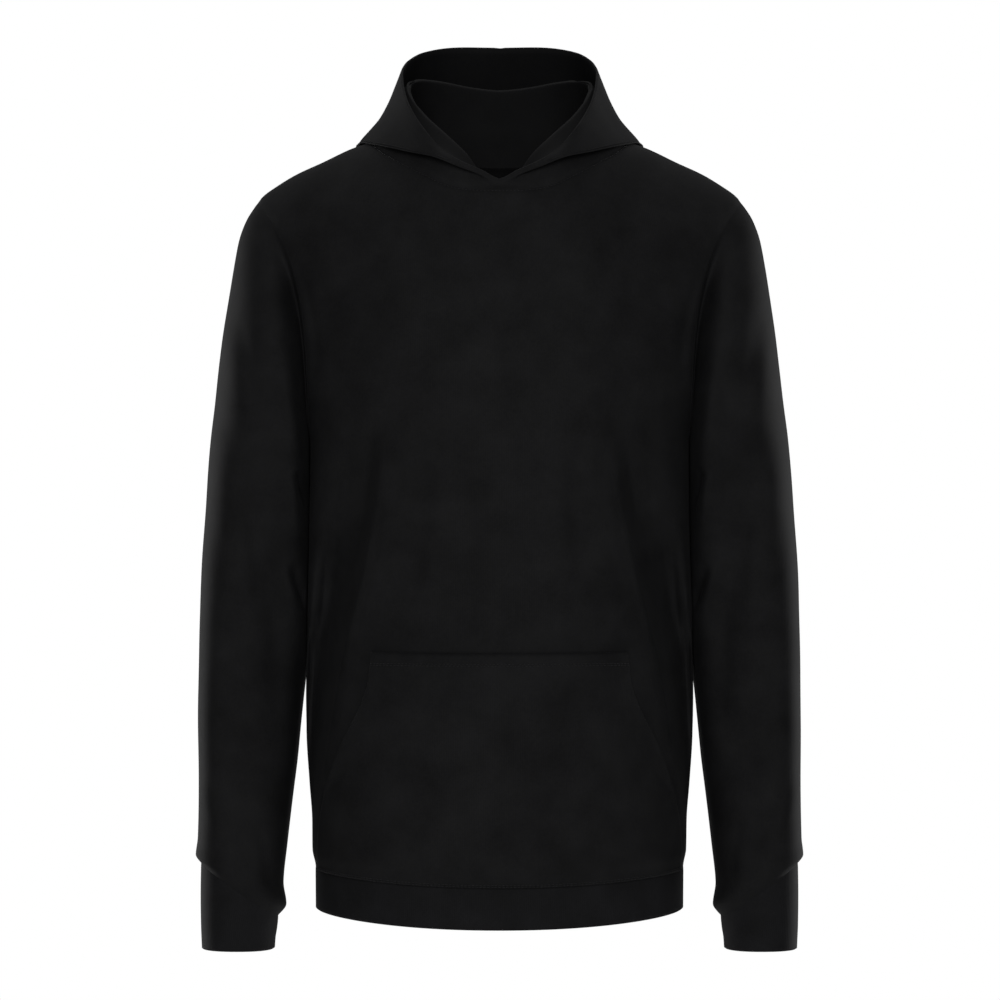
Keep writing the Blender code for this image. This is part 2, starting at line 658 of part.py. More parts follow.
def main():
    for thing in list(bpy.data.objects):
        bpy.data.objects.remove(thing, do_unlink=True)

    front, back = body_panel("front"), body_panel("back")
    left_sleeve = sleeve()
    right_sleeve = left_sleeve.mirror()
    left_hood = hood(front, back)
    right_hood = left_hood.mirror()
    band = hem_band(front, back)
    left_cuff = cuff(left_sleeve.points[-1])
    right_cuff = left_cuff.mirror()
    front_pocket = pocket(front)

    sew_body(front, back, left_sleeve, right_sleeve)
    top = front.points.shape[0] - 1
    mid = {"front": front.points.shape[1] // 2, "back": back.points.shape[1] // 2}
    for way, half in ((1, left_hood), (-1, right_hood)):
        along = np.arange(NECK_STEPS["front"] + 1)
        body_edge = edge(front, top, mid["front"] + way * along, (-1, 0))
        sew(body_edge, edge(half, 0, along, (1, 0)), (0, 0.3, 1))
        along = np.arange(NECK_STEPS["back"] + 1)
        after = NECK_STEPS["front"] + NECK_STEPS["back"] - along
        body_edge = edge(back, top, mid["back"] + way * along, (-1, 0))
        sew(body_edge, edge(half, 0, after, (1, 0)), (0, -0.3, 1))
        neck_front = (front, (top, mid["front"] + way * NECK_STEPS["front"]))
        neck_back = (back, (top, mid["back"] + way * NECK_STEPS["back"]))
        share_corner(neck_front, neck_back, (half, (0, NECK_STEPS["front"])))
        for piece, side in ((front, "front"), (back, "back")):
            piece.out[top, mid[side], 0] = 0.0
            piece.out[top, mid[side]] = unit(piece.out[top, mid[side]])
        for column in (0, -1):
            half.out[:, column, 0] = 0.0
            half.out[:, column] = unit(half.out[:, column])
            half.nudge[:, column, 0] += way * SEAM_GAP / 2

    count = front.points.shape[1]
    sew(edge(front, 0, np.arange(count), (1, 0)), edge(band, 0, np.arange(count), (1, 0)), (0, 0, -1))
    columns = np.arange(back.points.shape[1])[::-1]
    ring_columns = (count - 1 + np.arange(len(columns))) % band.points.shape[1]
    sew(edge(back, 0, columns, (1, 0)), edge(band, 0, ring_columns, (1, 0)), (0, 0, -1))
    for arm, wrist in ((left_sleeve, left_cuff), (right_sleeve, right_cuff)):
        around = np.arange(2 * ARMHOLE_STEPS)
        last = arm.points.shape[0] - 1
        sew(edge(arm, last, around, (-1, 0)), edge(wrist, 0, around, (1, 0)), (0, 0, -1))

    cloth("front", front, flip_from=mid["front"])
    cloth("back", back, flip_from=mid["back"])
    cloth("sleeve_left", left_sleeve)
    cloth("sleeve_right", right_sleeve)
    cloth("cuff_left", left_cuff)
    cloth("cuff_right", right_cuff)
    cloth("hem_band", band)
    cloth("pocket", front_pocket, flip_from=POCKET_COLUMN)
    cloth("hood_left", left_hood)
    cloth("hood_right", right_hood)


main()
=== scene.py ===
"""A black pullover hoodie, filled out with no wearer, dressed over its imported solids.

Every cut piece is a wall of sweatshirt knit on the same form as its solid, at a finer step, with
its creases, rolled seams and rows of stitches. Sizes are in millimetres, and become metres in the
meshes. +X is the wearer's left, -Y is the front, +Z is up and the origin is in the neck opening.
"""

from functools import partial

import bpy
import numpy as np
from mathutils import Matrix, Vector


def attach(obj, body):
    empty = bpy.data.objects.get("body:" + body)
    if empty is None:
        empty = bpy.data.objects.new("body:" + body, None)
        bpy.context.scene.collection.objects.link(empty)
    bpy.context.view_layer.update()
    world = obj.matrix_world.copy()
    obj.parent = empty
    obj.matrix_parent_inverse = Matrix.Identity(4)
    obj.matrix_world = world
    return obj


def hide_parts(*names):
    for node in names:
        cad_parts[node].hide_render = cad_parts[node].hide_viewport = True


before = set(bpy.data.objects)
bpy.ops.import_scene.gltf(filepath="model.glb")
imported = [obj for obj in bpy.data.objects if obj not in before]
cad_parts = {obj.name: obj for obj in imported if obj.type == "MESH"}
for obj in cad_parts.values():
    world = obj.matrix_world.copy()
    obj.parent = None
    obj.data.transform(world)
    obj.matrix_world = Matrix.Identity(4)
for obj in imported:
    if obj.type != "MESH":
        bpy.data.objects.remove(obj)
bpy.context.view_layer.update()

METRES = 0.001

# Cloth
WALL = 2.0
RIM_BULGE = 0.75  # how far the rim of a free edge bulges
POCKET_GAP = 0.3  # between the front's face and the pocket's back
CLEAR = 0.6  # between the sleeve and the body beside it
TUCK = 0.6  # how far a seam's mitre turns into a crease

# Body
ARMPIT_X, ARMPIT_Z = 170.0, -262.0
SHOULDER_X, SHOULDER_Y, SHOULDER_Z = 218.0, 8.0, -47.0
ARMHOLE_DEPTH = {"front": 68.0, "back": 74.0}
ARMHOLE_SHARE = 0.85
ARMHOLE_CURL, ARMHOLE_ROUND = 3.6, 0.9
SQUARENESS = 2.4
ROLL = {"front": 2.6, "back": 1.6}
SHOULDER_ROLL = 2.1
ROLL_FROM, ROLL_TO = 70.0, 160.0
SIDE = {"front": -1.0, "back": 1.0}
HEM_Z = -643.0
HEM_DIP = {"front": 9.0, "back": 2.25}
BAND_HEIGHT = 36.5
BODY_WIDTH = {
    "height": (-690.0, -655.0, -641.0, -628.0, -600.0, -570.0, -520.0, -420.0, -320.0, -262.0),
    "half_width": (165.0, 165.2, 165.4, 167.6, 168.2, 170.5, 173.6, 172.6, 170.4, 170.0),
}
BODY_DEPTH = {
    "height": (-690.0, -655.0, -641.0, -628.0, -560.0, -430.0, -300.0, -200.0, -120.0, 0.0),
    "front": (112.0, 112.5, 113.0, 116.0, 120.0, 124.5, 126.0, 124.0, 121.0, 118.0),
    "back": (104.0, 104.5, 105.0, 108.0, 108.0, 100.0, 109.0, 118.0, 120.0, 120.0),
}
SHOULDER = {
    "across": (0.0, 60.0, 100.0, 118.0, 134.6, 160.0, 183.0, 201.0, 213.0, 218.0),
    "height": (60.0, 38.0, 15.0, 7.0, 1.0, -11.0, -21.6, -32.4, -41.0, -47.0),
}
NECK_X = 118.0
NECK = {
    "across": (0.0, 16.0, 33.0, 50.0, 61.0, 78.0, 91.5, 105.0, 118.0),
    "front": (-43.3, -43.0, -41.5, -37.0, -31.0, -22.0, -14.0, -5.3, 7.0),
    "back": (-10.0, -9.8, -9.0, -7.5, -6.3, -3.5, -1.0, 2.2, 7.0),
}
NECK_PARTS = {"front": 8, "back": 6}  # shares of a panel's columns that end on the neck
SHOULDER_PARTS = 4

# Body folds that the solids have too: side, depth, width, path as (across, height)
LEAST_FOLDED_DEPTH = 40.0
BODY_FOLDS = (
    ("front", 5.0, 16.0, ((96, -225), (116, -310), (125, -372), (150, -450), (163, -560))),
    ("front", 3.0, 12.0, ((82, -315), (76, -385))),
    ("back", 6.0, 20.0, ((60, -330), (105, -400), (148, -430))),
    ("back", 5.0, 16.0, ((50, -470), (110, -500), (150, -505))),
)

# Kangaroo pocket
POCKET_TOP, POCKET_CORNER, POCKET_OPENING_END = -447.6, -475.0, -578.0
POCKET_PART = 7  # of the front's twelve parts, those that the pocket covers
POCKET_SIDE = {  # as a share of the body's half width
    "height": (-643.0, -605.0, -578.0, -545.0, -514.0, -493.0, -475.0, -447.6),
    "across": (0.965, 0.945, 0.905, 0.816, 0.733, 0.683, 0.658, 0.641),
}
POCKET_PUFF, POCKET_FLATNESS, OPENING_SHARE = 8.5, 0.7, 0.75
POCKET_ROWS = {
    "height": (HEM_Z, -612.0, POCKET_OPENING_END, -545.0, -510.0, POCKET_CORNER, POCKET_TOP),
    "share": (0.0, 1 / 6, 2 / 6, 3 / 6, 4 / 6, 5 / 6, 1.0),
}

# Sleeve: rings from the armhole down to the cuff seam
SLEEVE_RINGS = {
    "outer_height": (
        *(-47, -62, -82, -108, -140, -178, -220, -268, -320),
        *(-374, -428, -482, -536, -584, -616, -631, -638),
    ),
    "inner_height": (
        *(-262, -269, -278, -290, -305, -324, -348, -378, -414),
        *(-454, -496, -540, -584, -625, -657, -676, -686),
    ),
    "middle_y": (8, 7, 6, 5, 4, 3, 2, 2, 2, 1, -2, -6, -11, -16, -20, -22, -23),
    "half_depth": (70, 74, 76, 77, 75, 71, 66, 60, 55, 51, 48, 46, 44, 41, 38, 34.5, 31),
}
SLEEVE_OUTER = {
    "height": (
        *(-638, -631, -616, -585, -495, -405, -315, -261),
        *(-225, -171, -135, -99, -81, -63, -47),
    ),
    "across": (
        *(266.5, 271.5, 270.0, 269.5, 270.5, 269.0, 264.0, 259.7),
        *(255.0, 249.0, 243.5, 238.0, 234.5, 228.0, 218.0),
    ),
}
SLEEVE_INNER = {
    "height": (-686, -676, -657, -625, -584, -540, -500, -454, -400, -262),
    "across": (197.5, 190.5, 193.5, 191.0, 187.0, 182.0, 178.4, 173.8, 170.5, 170.0),
}
ROUND_SQUARENESS, FLAT_SQUARENESS = 2.25, 4.2  # a sleeve hangs flatter beside the body
BESIDE_BELOW = -110.0  # the height under which the sleeve is kept clear of the body
CLEAR_SLOPE = 0.2  # how fast that clearance grows with the distance from the armhole
ARMHOLE_FADE = 6  # rings over which the armhole's own shape turns into the sleeve's
HOLLOW = {  # how deep the sleeve's front sinks beside the armhole's seam
    "height": (-262.0, -245.0, -215.0, -170.0, -130.0, -100.0, -75.0, -47.0),
    "depth": (6.0, 14.0, 22.0, 24.0, 19.0, 10.0, 4.0, 1.0),
}
HOLLOW_REACH = 6.5  # how far from the seam the hollow is deepest
SLEEVE_TUCK = 22.0  # how far behind the body's widest line the sleeve's inner side hangs

# Cuff
CUFF_RINGS = {
    "outer_height": (-638.0, -664.0, -690.0, -714.0),
    "inner_height": (-686.0, -696.0, -706.0, -714.0),
    "outer_across": (266.5, 266.8, 266.5, 265.5),
    "inner_across": (197.5, 198.5, 200.0, 200.5),
    "middle_y": (-23.0, -24.0, -25.0, -26.0),
    "half_depth": (31.0, 30.5, 30.0, 30.0),
}

# Hood, worn down
HOOD_COLUMNS = {
    "crest_x": (0, 15.5, 30, 43, 52.5, 65, 75.5, 81, 81.5, 81, 77, 67, 50, 27, 0),
    "crest_y": (-94, -91, -84, -74, -65, -50, -30, -8, 12, 30, 45, 57, 66, 71, 73),
    "crest_z": (-39.5, -33, -13, 0.5, 10, 23, 38, 51, 59, 64, 67, 68, 66.5, 62.5, 60),
    "fold_x": (0, 16, 35, 49, 61, 79, 97, 113.5, 126.5, 126.5, 118, 104, 77, 41, 0),
    "fold_y": (-94.5, -92.5, -92.5, -90.5, -85, -73, -56, -30, 6, 34, 62, 88, 110, 127, 132),
    "fold_z": (-37.5, -31, -24, -18, -13.5, -9, -3.5, 2, 5.5, -8, -33, -62, -92, -117, -128),
    "rim_x": (0, 16, 34.5, 49.5, 60, 72.5, 81.5, 86, 88, 89, 88.5, 84, 72, 44, 0),
    "rim_y": (-93.5, -92, -93.5, -85, -78, -63, -44, -24, -2, 25, 55, 82, 102, 114, 118),
    "rim_z": (-34, -26.5, -18.5, -8, 3, 20, 37, 51, 64, 73, 81, 91, 100, 106, 106.5),
    "lean_in": (0, 0, 0, -1, -2, -3, -3.5, -4, -4.5, -3, 0, 3, 5, 5, 5),
    "drop_in": (0, 0, -1, -2, -3, -4, -5.5, -7, -8, -6, -3, 0, 0, 0, 0),
    "belly_out": (0, 0, 1, 1, 1, 0, -0.8, -0.8, -0.5, 1, 7, 15, 22, 27, 29),
    "belly_low": (0, 0, 0, 0, 0, 1, 3, 4.5, 5, 4.5, 3, 0, 0, 0, 0),
    "fold_round": (0, 0, 0, 0, 0, 0, 0.15, 0.3, 0.45, 0.5, 0.55, 0.65, 0.8, 0.8, 0.8),
}
HOOD_CENTRE_Y = 10.0
HOOD_PARTS = (2, 2, 3, 4, 4, 3)  # shares of the rows between the knots of a column's curve
CREST_KNOT, FOLD_KNOT = 2, 4
HOOD_CLEAR = 1.2  # between the hood's fold and the body it rests on

# How fine the cloth is
LOWER_ROWS = 110  # of a body panel, from the hem to the armpit
ARMHOLE_STEPS = 72
PANEL_FINE = 8  # columns to a part of a panel
HOOD_FINE = 7  # rows to a part of a hood column
SLEEVE_FINE = 10  # rings to each ring of the table
CUFF_FINE = 9
POCKET_FINE = 61
BAND_ROWS = 12

# Creases laid on the finer cloth. side is where the cloth faces; depth is at the middle of
# the path, and lip is the share of it that rises beside the trough, on the garment's outer side.
BODY_CREASES = (
    # (side, depth, width, lip, path as (across, height) from its upper end)
    ("front", 2.0, 9.0, 0.3, ((-72, -240), (-65, -312), (-69, -385))),
    ("front", 1.7, 9.0, 0.3, ((70, -250), (64, -318), (70, -392))),
    ("front", 1.5, 5.0, 0.6, ((-183, -100), (-166, -150), (-158, -205))),
    ("front", 1.4, 5.0, 0.6, ((182, -105), (165, -156), (157, -212))),
    ("front", 0.9, 9.0, 0.3, ((-120, -205), (-134, -260), (-143, -320))),
    ("front", 0.8, 9.0, 0.3, ((122, -212), (135, -268), (144, -330))),
    ("front", 0.9, 12.0, 0.2, ((16, -555), (13, -600), (14, -640))),
    ("back", 2.6, 11.0, 0.6, ((-152, -330), (-112, -372), (-60, -392))),
    ("back", 2.3, 11.0, 0.6, ((150, -338), (108, -380), (52, -398))),
    ("back", 2.0, 12.0, 0.5, ((-150, -440), (-90, -462), (-22, -466))),
    ("back", 2.2, 12.0, 0.5, ((151, -452), (96, -474), (30, -478))),
    ("back", 1.8, 9.0, 0.6, ((-166, -190), (-150, -245), (-128, -300))),
    ("back", 1.6, 9.0, 0.6, ((165, -196), (149, -252), (126, -308))),
    ("back", 1.2, 12.0, 0.4, ((-60, -560), (-54, -600), (-56, -640))),
)
# The two long folds that run from under the arms down to the hips. Inside its edge the front hangs
# flat; outside it the cloth drops back sharply, and comes forward again towards the side. The form
# gives the share of the depth at shares of the strip from the edge to the side, at three heights.
DROP_EDGE = {
    "height": (-620, -593, -541, -489, -454, -419, -384, -350, -315, -280, -235),
    "right": (161, 159.5, 152.5, 143.5, 137, 128.5, 119, 112, 106, 101.5, 95),
    "left": (160, 160, 153, 144.5, 138, 129, 119.5, 112, 105, 99.5, 92),
}
DROP_DEPTH = {
    "height": (-620, -600, -560, -510, -460, -400, -350, -310, -275, -235),
    "depth": (0, 5, 18, 32, 40, 42, 32, 20, 9, 0),
}
DROP_FORM = {
    "share": (0.0, 0.05, 0.2, 0.4, 0.55, 0.66, 0.78, 0.9, 1.0),
    "ribs": (0.0, 0.26, 0.95, 0.92, 0.66, 0.44, 0.22, 0.03, 0.0),
    "waist": (0.0, 0.12, 0.44, 0.82, 1.0, 0.9, 0.58, 0.23, 0.0),
    "hips": (0.0, 0.13, 0.42, 0.76, 0.94, 1.0, 0.9, 0.58, 0.0),
}
DROP_LIP, DROP_LIP_WIDTH = 2.2, 9.0  # of the low ridge along the folds' edge
SLEEVE_CREASES = (
    # (side, depth, width, lip, path as (across, height) on the wearer's left sleeve)
    (
        *("front", 4.2, 12.0, 0.3),
        ((229, -270), (219, -330), (207, -382), (199, -432), (198, -486), (205, -545)),
    ),
    ("front", 6.0, 4.8, 0.4, ((177.5, -288), (172.5, -308), (167, -346))),
    ("front", 6.0, 4.8, 0.4, ((184.5, -372), (177.5, -392), (170.5, -412), (165, -434))),
    ("front", 1.2, 8.0, 0.4, ((232, -150), (222, -200), (212, -245))),
    ("front", 0.9, 6.0, 0.5, ((259, -560), (240, -600), (219, -634))),
    ("front", 0.9, 5.0, 0.5, ((214, -600), (207, -632), (203, -664))),
    ("back", 3.0, 9.0, 0.6, ((188, -296), (214, -318), (244, -322))),
    ("back", 3.0, 9.0, 0.6, ((184, -352), (214, -364), (250, -360))),
    ("back", 2.2, 8.0, 0.6, ((190, -412), (218, -420), (250, -408))),
    ("back", 1.6, 9.0, 0.5, ((236, -120), (226, -180), (214, -232))),
    ("back", 1.6, 6.0, 0.5, ((256, -566), (236, -604), (216, -632))),
)
UNEVEN = 0.35  # the height of the slow waves that keep any stretch of cloth from lying dead flat
CALM_SEAM, CALM_NECK = 7.0, 12.0  # how far from a seam creases and waves fade out

# Sewing
HEM_DIP_IN, SEAM_ROUND = 0.35, 2.4  # how deep the hem's seam pulls the cloth in, and how wide
STITCH_LENGTH, STITCH_GAP = 2.6, 0.7
NEEDLES_APART = 1.6  # a twin needle's two rows
THREAD = 0.3  # half the thickness of the thread

# Knit, in millimetres
WALE, COURSE = 2.0, 1.6  # a real wale is about 1 mm: drawn twice as coarse, so that it can show
RIB = 1.9
FIBRE, FLECKS, CLOUDS = 0.9, 2.2, 38.0  # the sizes of the fuzz, of flecks and of slow colour changes
TWIST = 1.1  # of the sewing thread

# Room, in metres
FLOOR_Z = -1.45  # the neck hangs at a standing adult's height
SURROUND_LIGHT = 0.17
CAMERA_AWAY, PICTURE_WIDE = 3.2, 0.9
LIGHTS = (
    # (name, place, what it faces, width and height, watts)
    ("front light", (0.0, -3.4, 0.6), (0.0, 0.0, -0.3), (2.4, 1.4), 51),
    ("top light", (0.0, 0.3, 1.4), (0.0, 0.0, 0.0), (1.4, 0.5), 6),
    ("strip light right", (-1.35, 0.6, -0.45), (0.0, 0.0, -0.3), (0.3, 1.5), 12),
    ("strip light left", (1.35, 0.6, -0.45), (0.0, 0.0, -0.3), (0.3, 1.5), 12),
)

# Curves and the body's form


def cubic(t, start, end, leaving, arriving):
    """The cubic over t from 0 to 1 that goes from start to end with these slopes at its ends."""
    places = (2 * t**3 - 3 * t**2 + 1) * start + (3 * t**2 - 2 * t**3) * end
    return places + (t**3 - 2 * t**2 + t) * leaving + (t**3 - t**2) * arriving


def smooth(at, xs, ys):
    """A curve through the points (xs, ys): a cubic between neighbours that never overshoots them."""
    at, xs, ys = (np.asarray(a, float) for a in (at, xs, ys))
    width, rise = np.diff(xs), np.diff(ys)
    steep = rise / width
    both = steep[:-1] * steep[1:]
    total = np.where(both > 0, steep[:-1] + steep[1:], 1.0)
    slope = np.concatenate([steep[:1], np.where(both > 0, 2 * both / total, 0.0), steep[-1:]])
    k = np.clip(np.searchsorted(xs, at) - 1, 0, len(xs) - 2)
    t = np.clip((at - xs[k]) / width[k], 0, 1)
    return cubic(t, ys[k], ys[k + 1], width[k] * slope[k], width[k] * slope[k + 1])


def ease(t):
    """From 0 to 1 as t does, level at both ends."""
    t = np.clip(t, 0, 1)
    return t * t * (3 - 2 * t)


def unit(vectors):
    """The same directions, all one long."""
    return vectors / np.maximum(np.linalg.norm(vectors, axis=-1, keepdims=True), 1e-9)


def mirrored(points):
    """The points on the wearer's other side."""
    return points * np.array([-1.0, 1.0, 1.0])


def oval(share, squareness):
    """What is left of a superellipse's depth at this share of its width."""
    return (1 - np.clip(np.abs(share), 0, 1) ** squareness) ** (1 / squareness)


def shoulder_height(x):
    """The shoulder line's height at a distance from the middle."""
    return smooth(np.abs(x), *SHOULDER.values())


def middle_y(z):
    """Where front and back meet: at the side seams, and rising to the shoulder seams."""
    return SHOULDER_Y * ease((z - ARMPIT_Z) / (SHOULDER_Z - ARMPIT_Z))


def depth(z, side):
    """The body's greatest depth at a height, in front or behind."""
    return smooth(z, BODY_DEPTH["height"], BODY_DEPTH[side])


def roll_power(x, side):
    """The exponent of the roll, from the middle's own to the shoulders'."""
    out = ease((np.abs(x) - ROLL_FROM) / (ROLL_TO - ROLL_FROM))
    return ROLL[side] + (SHOULDER_ROLL - ROLL[side]) * out


def roll(x, z, side):
    """The share of its depth that the body keeps at a height, down to none at the shoulder seam."""
    up = np.clip((z - ARMPIT_Z) / (shoulder_height(x) - ARMPIT_Z), 0, 1)
    power = roll_power(x, side)
    return (1 - up**power) ** (1 / power)


def armhole(side, steps=ARMHOLE_STEPS):
    """The armhole's points on one side of the body, from the armpit up to the shoulder."""
    turn = np.pi * np.arange(steps + 1) / steps
    up = (1 - np.cos(turn)) / 2
    z = ARMPIT_Z + (SHOULDER_Z - ARMPIT_Z) * up
    x = ARMPIT_X + (SHOULDER_X - ARMPIT_X) * up**ARMHOLE_CURL
    wanted = ARMHOLE_DEPTH[side] * np.sin(turn) ** ARMHOLE_ROUND
    most = ARMHOLE_SHARE * depth(z, side) * roll(x, z, side) + 1e-6
    kept = wanted * most / (wanted**4 + most**4) ** 0.25
    return np.stack([x, middle_y(z) + SIDE[side] * kept, z], axis=1)


def reach(z, side):
    """The half width of the oval section at each height: below the armpit the body's own, and
    above it the width whose oval passes through the armhole."""
    x, y, height = armhole(side, 12)[1:-1].T
    kept = np.abs(y - middle_y(height)) / (depth(height, side) * roll(x, height, side))
    wide = x / oval(kept, SQUARENESS)
    heights = np.concatenate([BODY_WIDTH["height"], height])
    return smooth(z, heights, np.concatenate([BODY_WIDTH["half_width"], wide]))


def fold_depth(x, z, side):
    """How far the body's folds press its surface in: a soft trough round each path."""
    total = np.zeros(np.shape(x))
    for where, deep, wide, path in BODY_FOLDS:
        if where != side:
            continue
        path = np.array(path, float)[::-1]
        lowest, highest = path[0, 1], path[-1, 1]
        centre = smooth(z, path[:, 1], path[:, 0])
        along = np.clip((z - lowest) / (highest - lowest), 0, 1)
        total = total + deep * np.sin(np.pi * along) * np.exp(-(((np.abs(x) - centre) / wide) ** 2))
    return total


def body_y(x, z, side):
    """The body's surface: an oval section at each height, rolling over to the shoulder seam."""
    full = depth(z, side) * oval(np.abs(x) / reach(z, side), SQUARENESS) * roll(x, z, side)
    full = full - fold_depth(x, z, side) * np.clip(full / LEAST_FOLDED_DEPTH, 0, 1)
    return middle_y(z) + SIDE[side] * full


def body_half_width(y, z):
    """The half width of the body's oval section at a depth and height, carried on over the
    armhole's opening."""
    up = np.clip((z - ARMPIT_Z) / (SHOULDER_Z - ARMPIT_Z), 0, 1)
    edge_x = ARMPIT_X + (SHOULDER_X - ARMPIT_X) * up**ARMHOLE_CURL
    away = y - middle_y(z)
    width = []
    for side in ("front", "back"):
        full = np.maximum(depth(z, side) * roll(edge_x, z, side), 1e-3)
        width.append(reach(z, side) * oval(np.clip(away * SIDE[side] / full, 0, 1), SQUARENESS))
    return np.where(away < 0, *width)


def body_level(points):
    """Under 1 inside the body's form, 1 on its surface and over 1 outside it."""
    x, y, z = np.moveaxis(points, -1, 0)
    up = np.clip((z - ARMPIT_Z) / (shoulder_height(x) - ARMPIT_Z), 0, None)
    away = y - middle_y(z)
    level = []
    for side in ("front", "back"):
        full = depth(z, side) * oval(np.minimum(np.abs(x) / reach(z, side), 0.99), SQUARENESS)
        power = roll_power(x, side)
        level.append(((np.abs(away) / full) ** power + up**power) ** (1 / power))
    return np.where(away < 0, *level)


def clear_of_body(points, gap):
    """Moves points that are nearer to the body's surface than the gap straight out of it."""
    for _ in range(5):
        steps = 0.25 * np.eye(3)
        slope = [body_level(points + step) - body_level(points - step) for step in steps]
        slope = np.stack(slope, axis=-1)
        steep = np.linalg.norm(slope, axis=-1, keepdims=True)
        off = (body_level(points) - 1)[..., None] / (2 * steep)
        points = points + slope / steep * np.maximum(gap - off, 0)
    return points


# Cloth as grids of points


class Cloth:
    """A piece of cloth: a grid of points on its outer face, which way is out at each, and which
    of its edges are free. A ring's last column is followed by its first."""

    def __init__(self, points, ring=False, turned=False):
        """turned says that the columns run the other way, so that out is reversed."""
        self.points, self.ring, self.turned = points, ring, turned
        self.sewn = []
        self.look_out()

    def look_out(self):
        """Works out the way out of the cloth, but keeps a sewn edge's own."""
        down = np.gradient(self.points, axis=0)
        if self.ring:
            across = np.roll(self.points, -1, 1) - np.roll(self.points, 1, 1)
        else:
            across = np.gradient(self.points, axis=1)
        self.face = unit(np.cross(across, down)) * (-1 if self.turned else 1)
        self.out = self.face.copy()
        for at, out in self.sewn:
            self.out[at] = out

    def sew_edge(self, at, out):
        """Keeps one way out for part of an edge, whatever is done to the cloth later."""
        self.sewn.append((at, out))
        self.out[at] = out

    def mirror(self):
        """The same piece for the wearer's other side."""
        return Cloth(mirrored(self.points), self.ring, not self.turned)

    def steps(self, axis):
        """The lengths of the grid's steps down (0) or across (1), closed round a ring."""
        points = self.points
        if axis == 1 and self.ring:
            points = np.concatenate([points, points[:, :1]], axis=1)
        return np.linalg.norm(np.diff(points, axis=axis), axis=2)

    def from_edge(self, edge):
        """Each point's distance along the grid from the first or last row or column."""
        axis = 0 if "row" in edge else 1
        start = np.zeros_like(self.points[:1, :, 0] if axis == 0 else self.points[:, :1, 0])
        gone = np.cumsum(np.concatenate([start, self.steps(axis)[:, : self.points.shape[1]]], axis), axis)
        if "last" not in edge:
            return gone
        return gone[-1:] - gone if axis == 0 else gone[:, -1:] - gone

    def sink_seams(self, dips):
        """Rounds the cloth into its seams: it sinks along the nearest seam's own way out, by that
        seam's dip times a bell curve of the distance from it."""
        places = {"first row": (0,), "last row": (-1,), "first column": (slice(None), 0)}
        places["last column"] = (slice(None), -1)
        gone = np.stack([self.from_edge(name) for name in dips])
        ways = []
        for name in dips:
            way = self.out[places[name]]
            way = way[None] if "row" in name else way[:, None]
            ways.append(np.broadcast_to(way, self.points.shape))
        nearest = gone.argmin(0)
        way = np.take_along_axis(np.stack(ways), nearest[None, ..., None], 0)[0]
        deep = np.array(list(dips.values()))[nearest] * np.exp(-((gone.min(0) / SEAM_ROUND) ** 2))
        self.points = self.points - way * deep[..., None]

    def calm(self, edges, width):
        """A share that is none along these edges and grows to 1 over about this width from them."""
        return np.prod([1 - np.exp(-((self.from_edge(name) / width) ** 2)) for name in edges], axis=0)

    def press(self, amount):
        """Moves the cloth in along its own way out."""
        self.points = self.points - self.face * amount[..., None]


def square_to(vectors, along):
    """What is left of the vectors square to a direction."""
    return vectors - along * np.sum(vectors * along, axis=-1, keepdims=True)


def edge(cloth, rows, columns, inward):
    """Part of a piece's edge: its index, and the step that leads from it into the piece."""
    rows, columns = np.broadcast_arrays(rows, columns)
    into = unit(cloth.points[rows + inward[0], columns + inward[1]] - cloth.points[rows, columns])
    return cloth, (rows, columns), into


def sew(first, second):
    """Gives two edges with the same points one mitre, turned a little into the crease."""
    (one, at_one, into_one), (two, at_two, into_two) = first, second
    along = unit(np.gradient(one.points[at_one], axis=0))
    into = unit(square_to(into_one, along)) + unit(square_to(into_two, along))
    out = unit(square_to(one.face[at_one] + two.face[at_two] + TUCK * into, along))
    one.sew_edge(at_one, out)
    two.sew_edge(at_two, out)


def share_corner(*corners, out=None):
    """Gives the corners of pieces that meet in one point the same way out."""
    if out is None:
        out = unit(sum(cloth.face[at] for cloth, at in corners))
    for cloth, at in corners:
        cloth.sew_edge(at, out)


# The pieces' forms


def panel_columns(side):
    """Each column's share of the body's width at the armpit, from the centre to the side seam."""
    count = PANEL_FINE * (NECK_PARTS[side] + SHOULDER_PARTS)
    return np.sin(np.pi / 2 * np.arange(count + 1) / count) ** (2 / SQUARENESS)


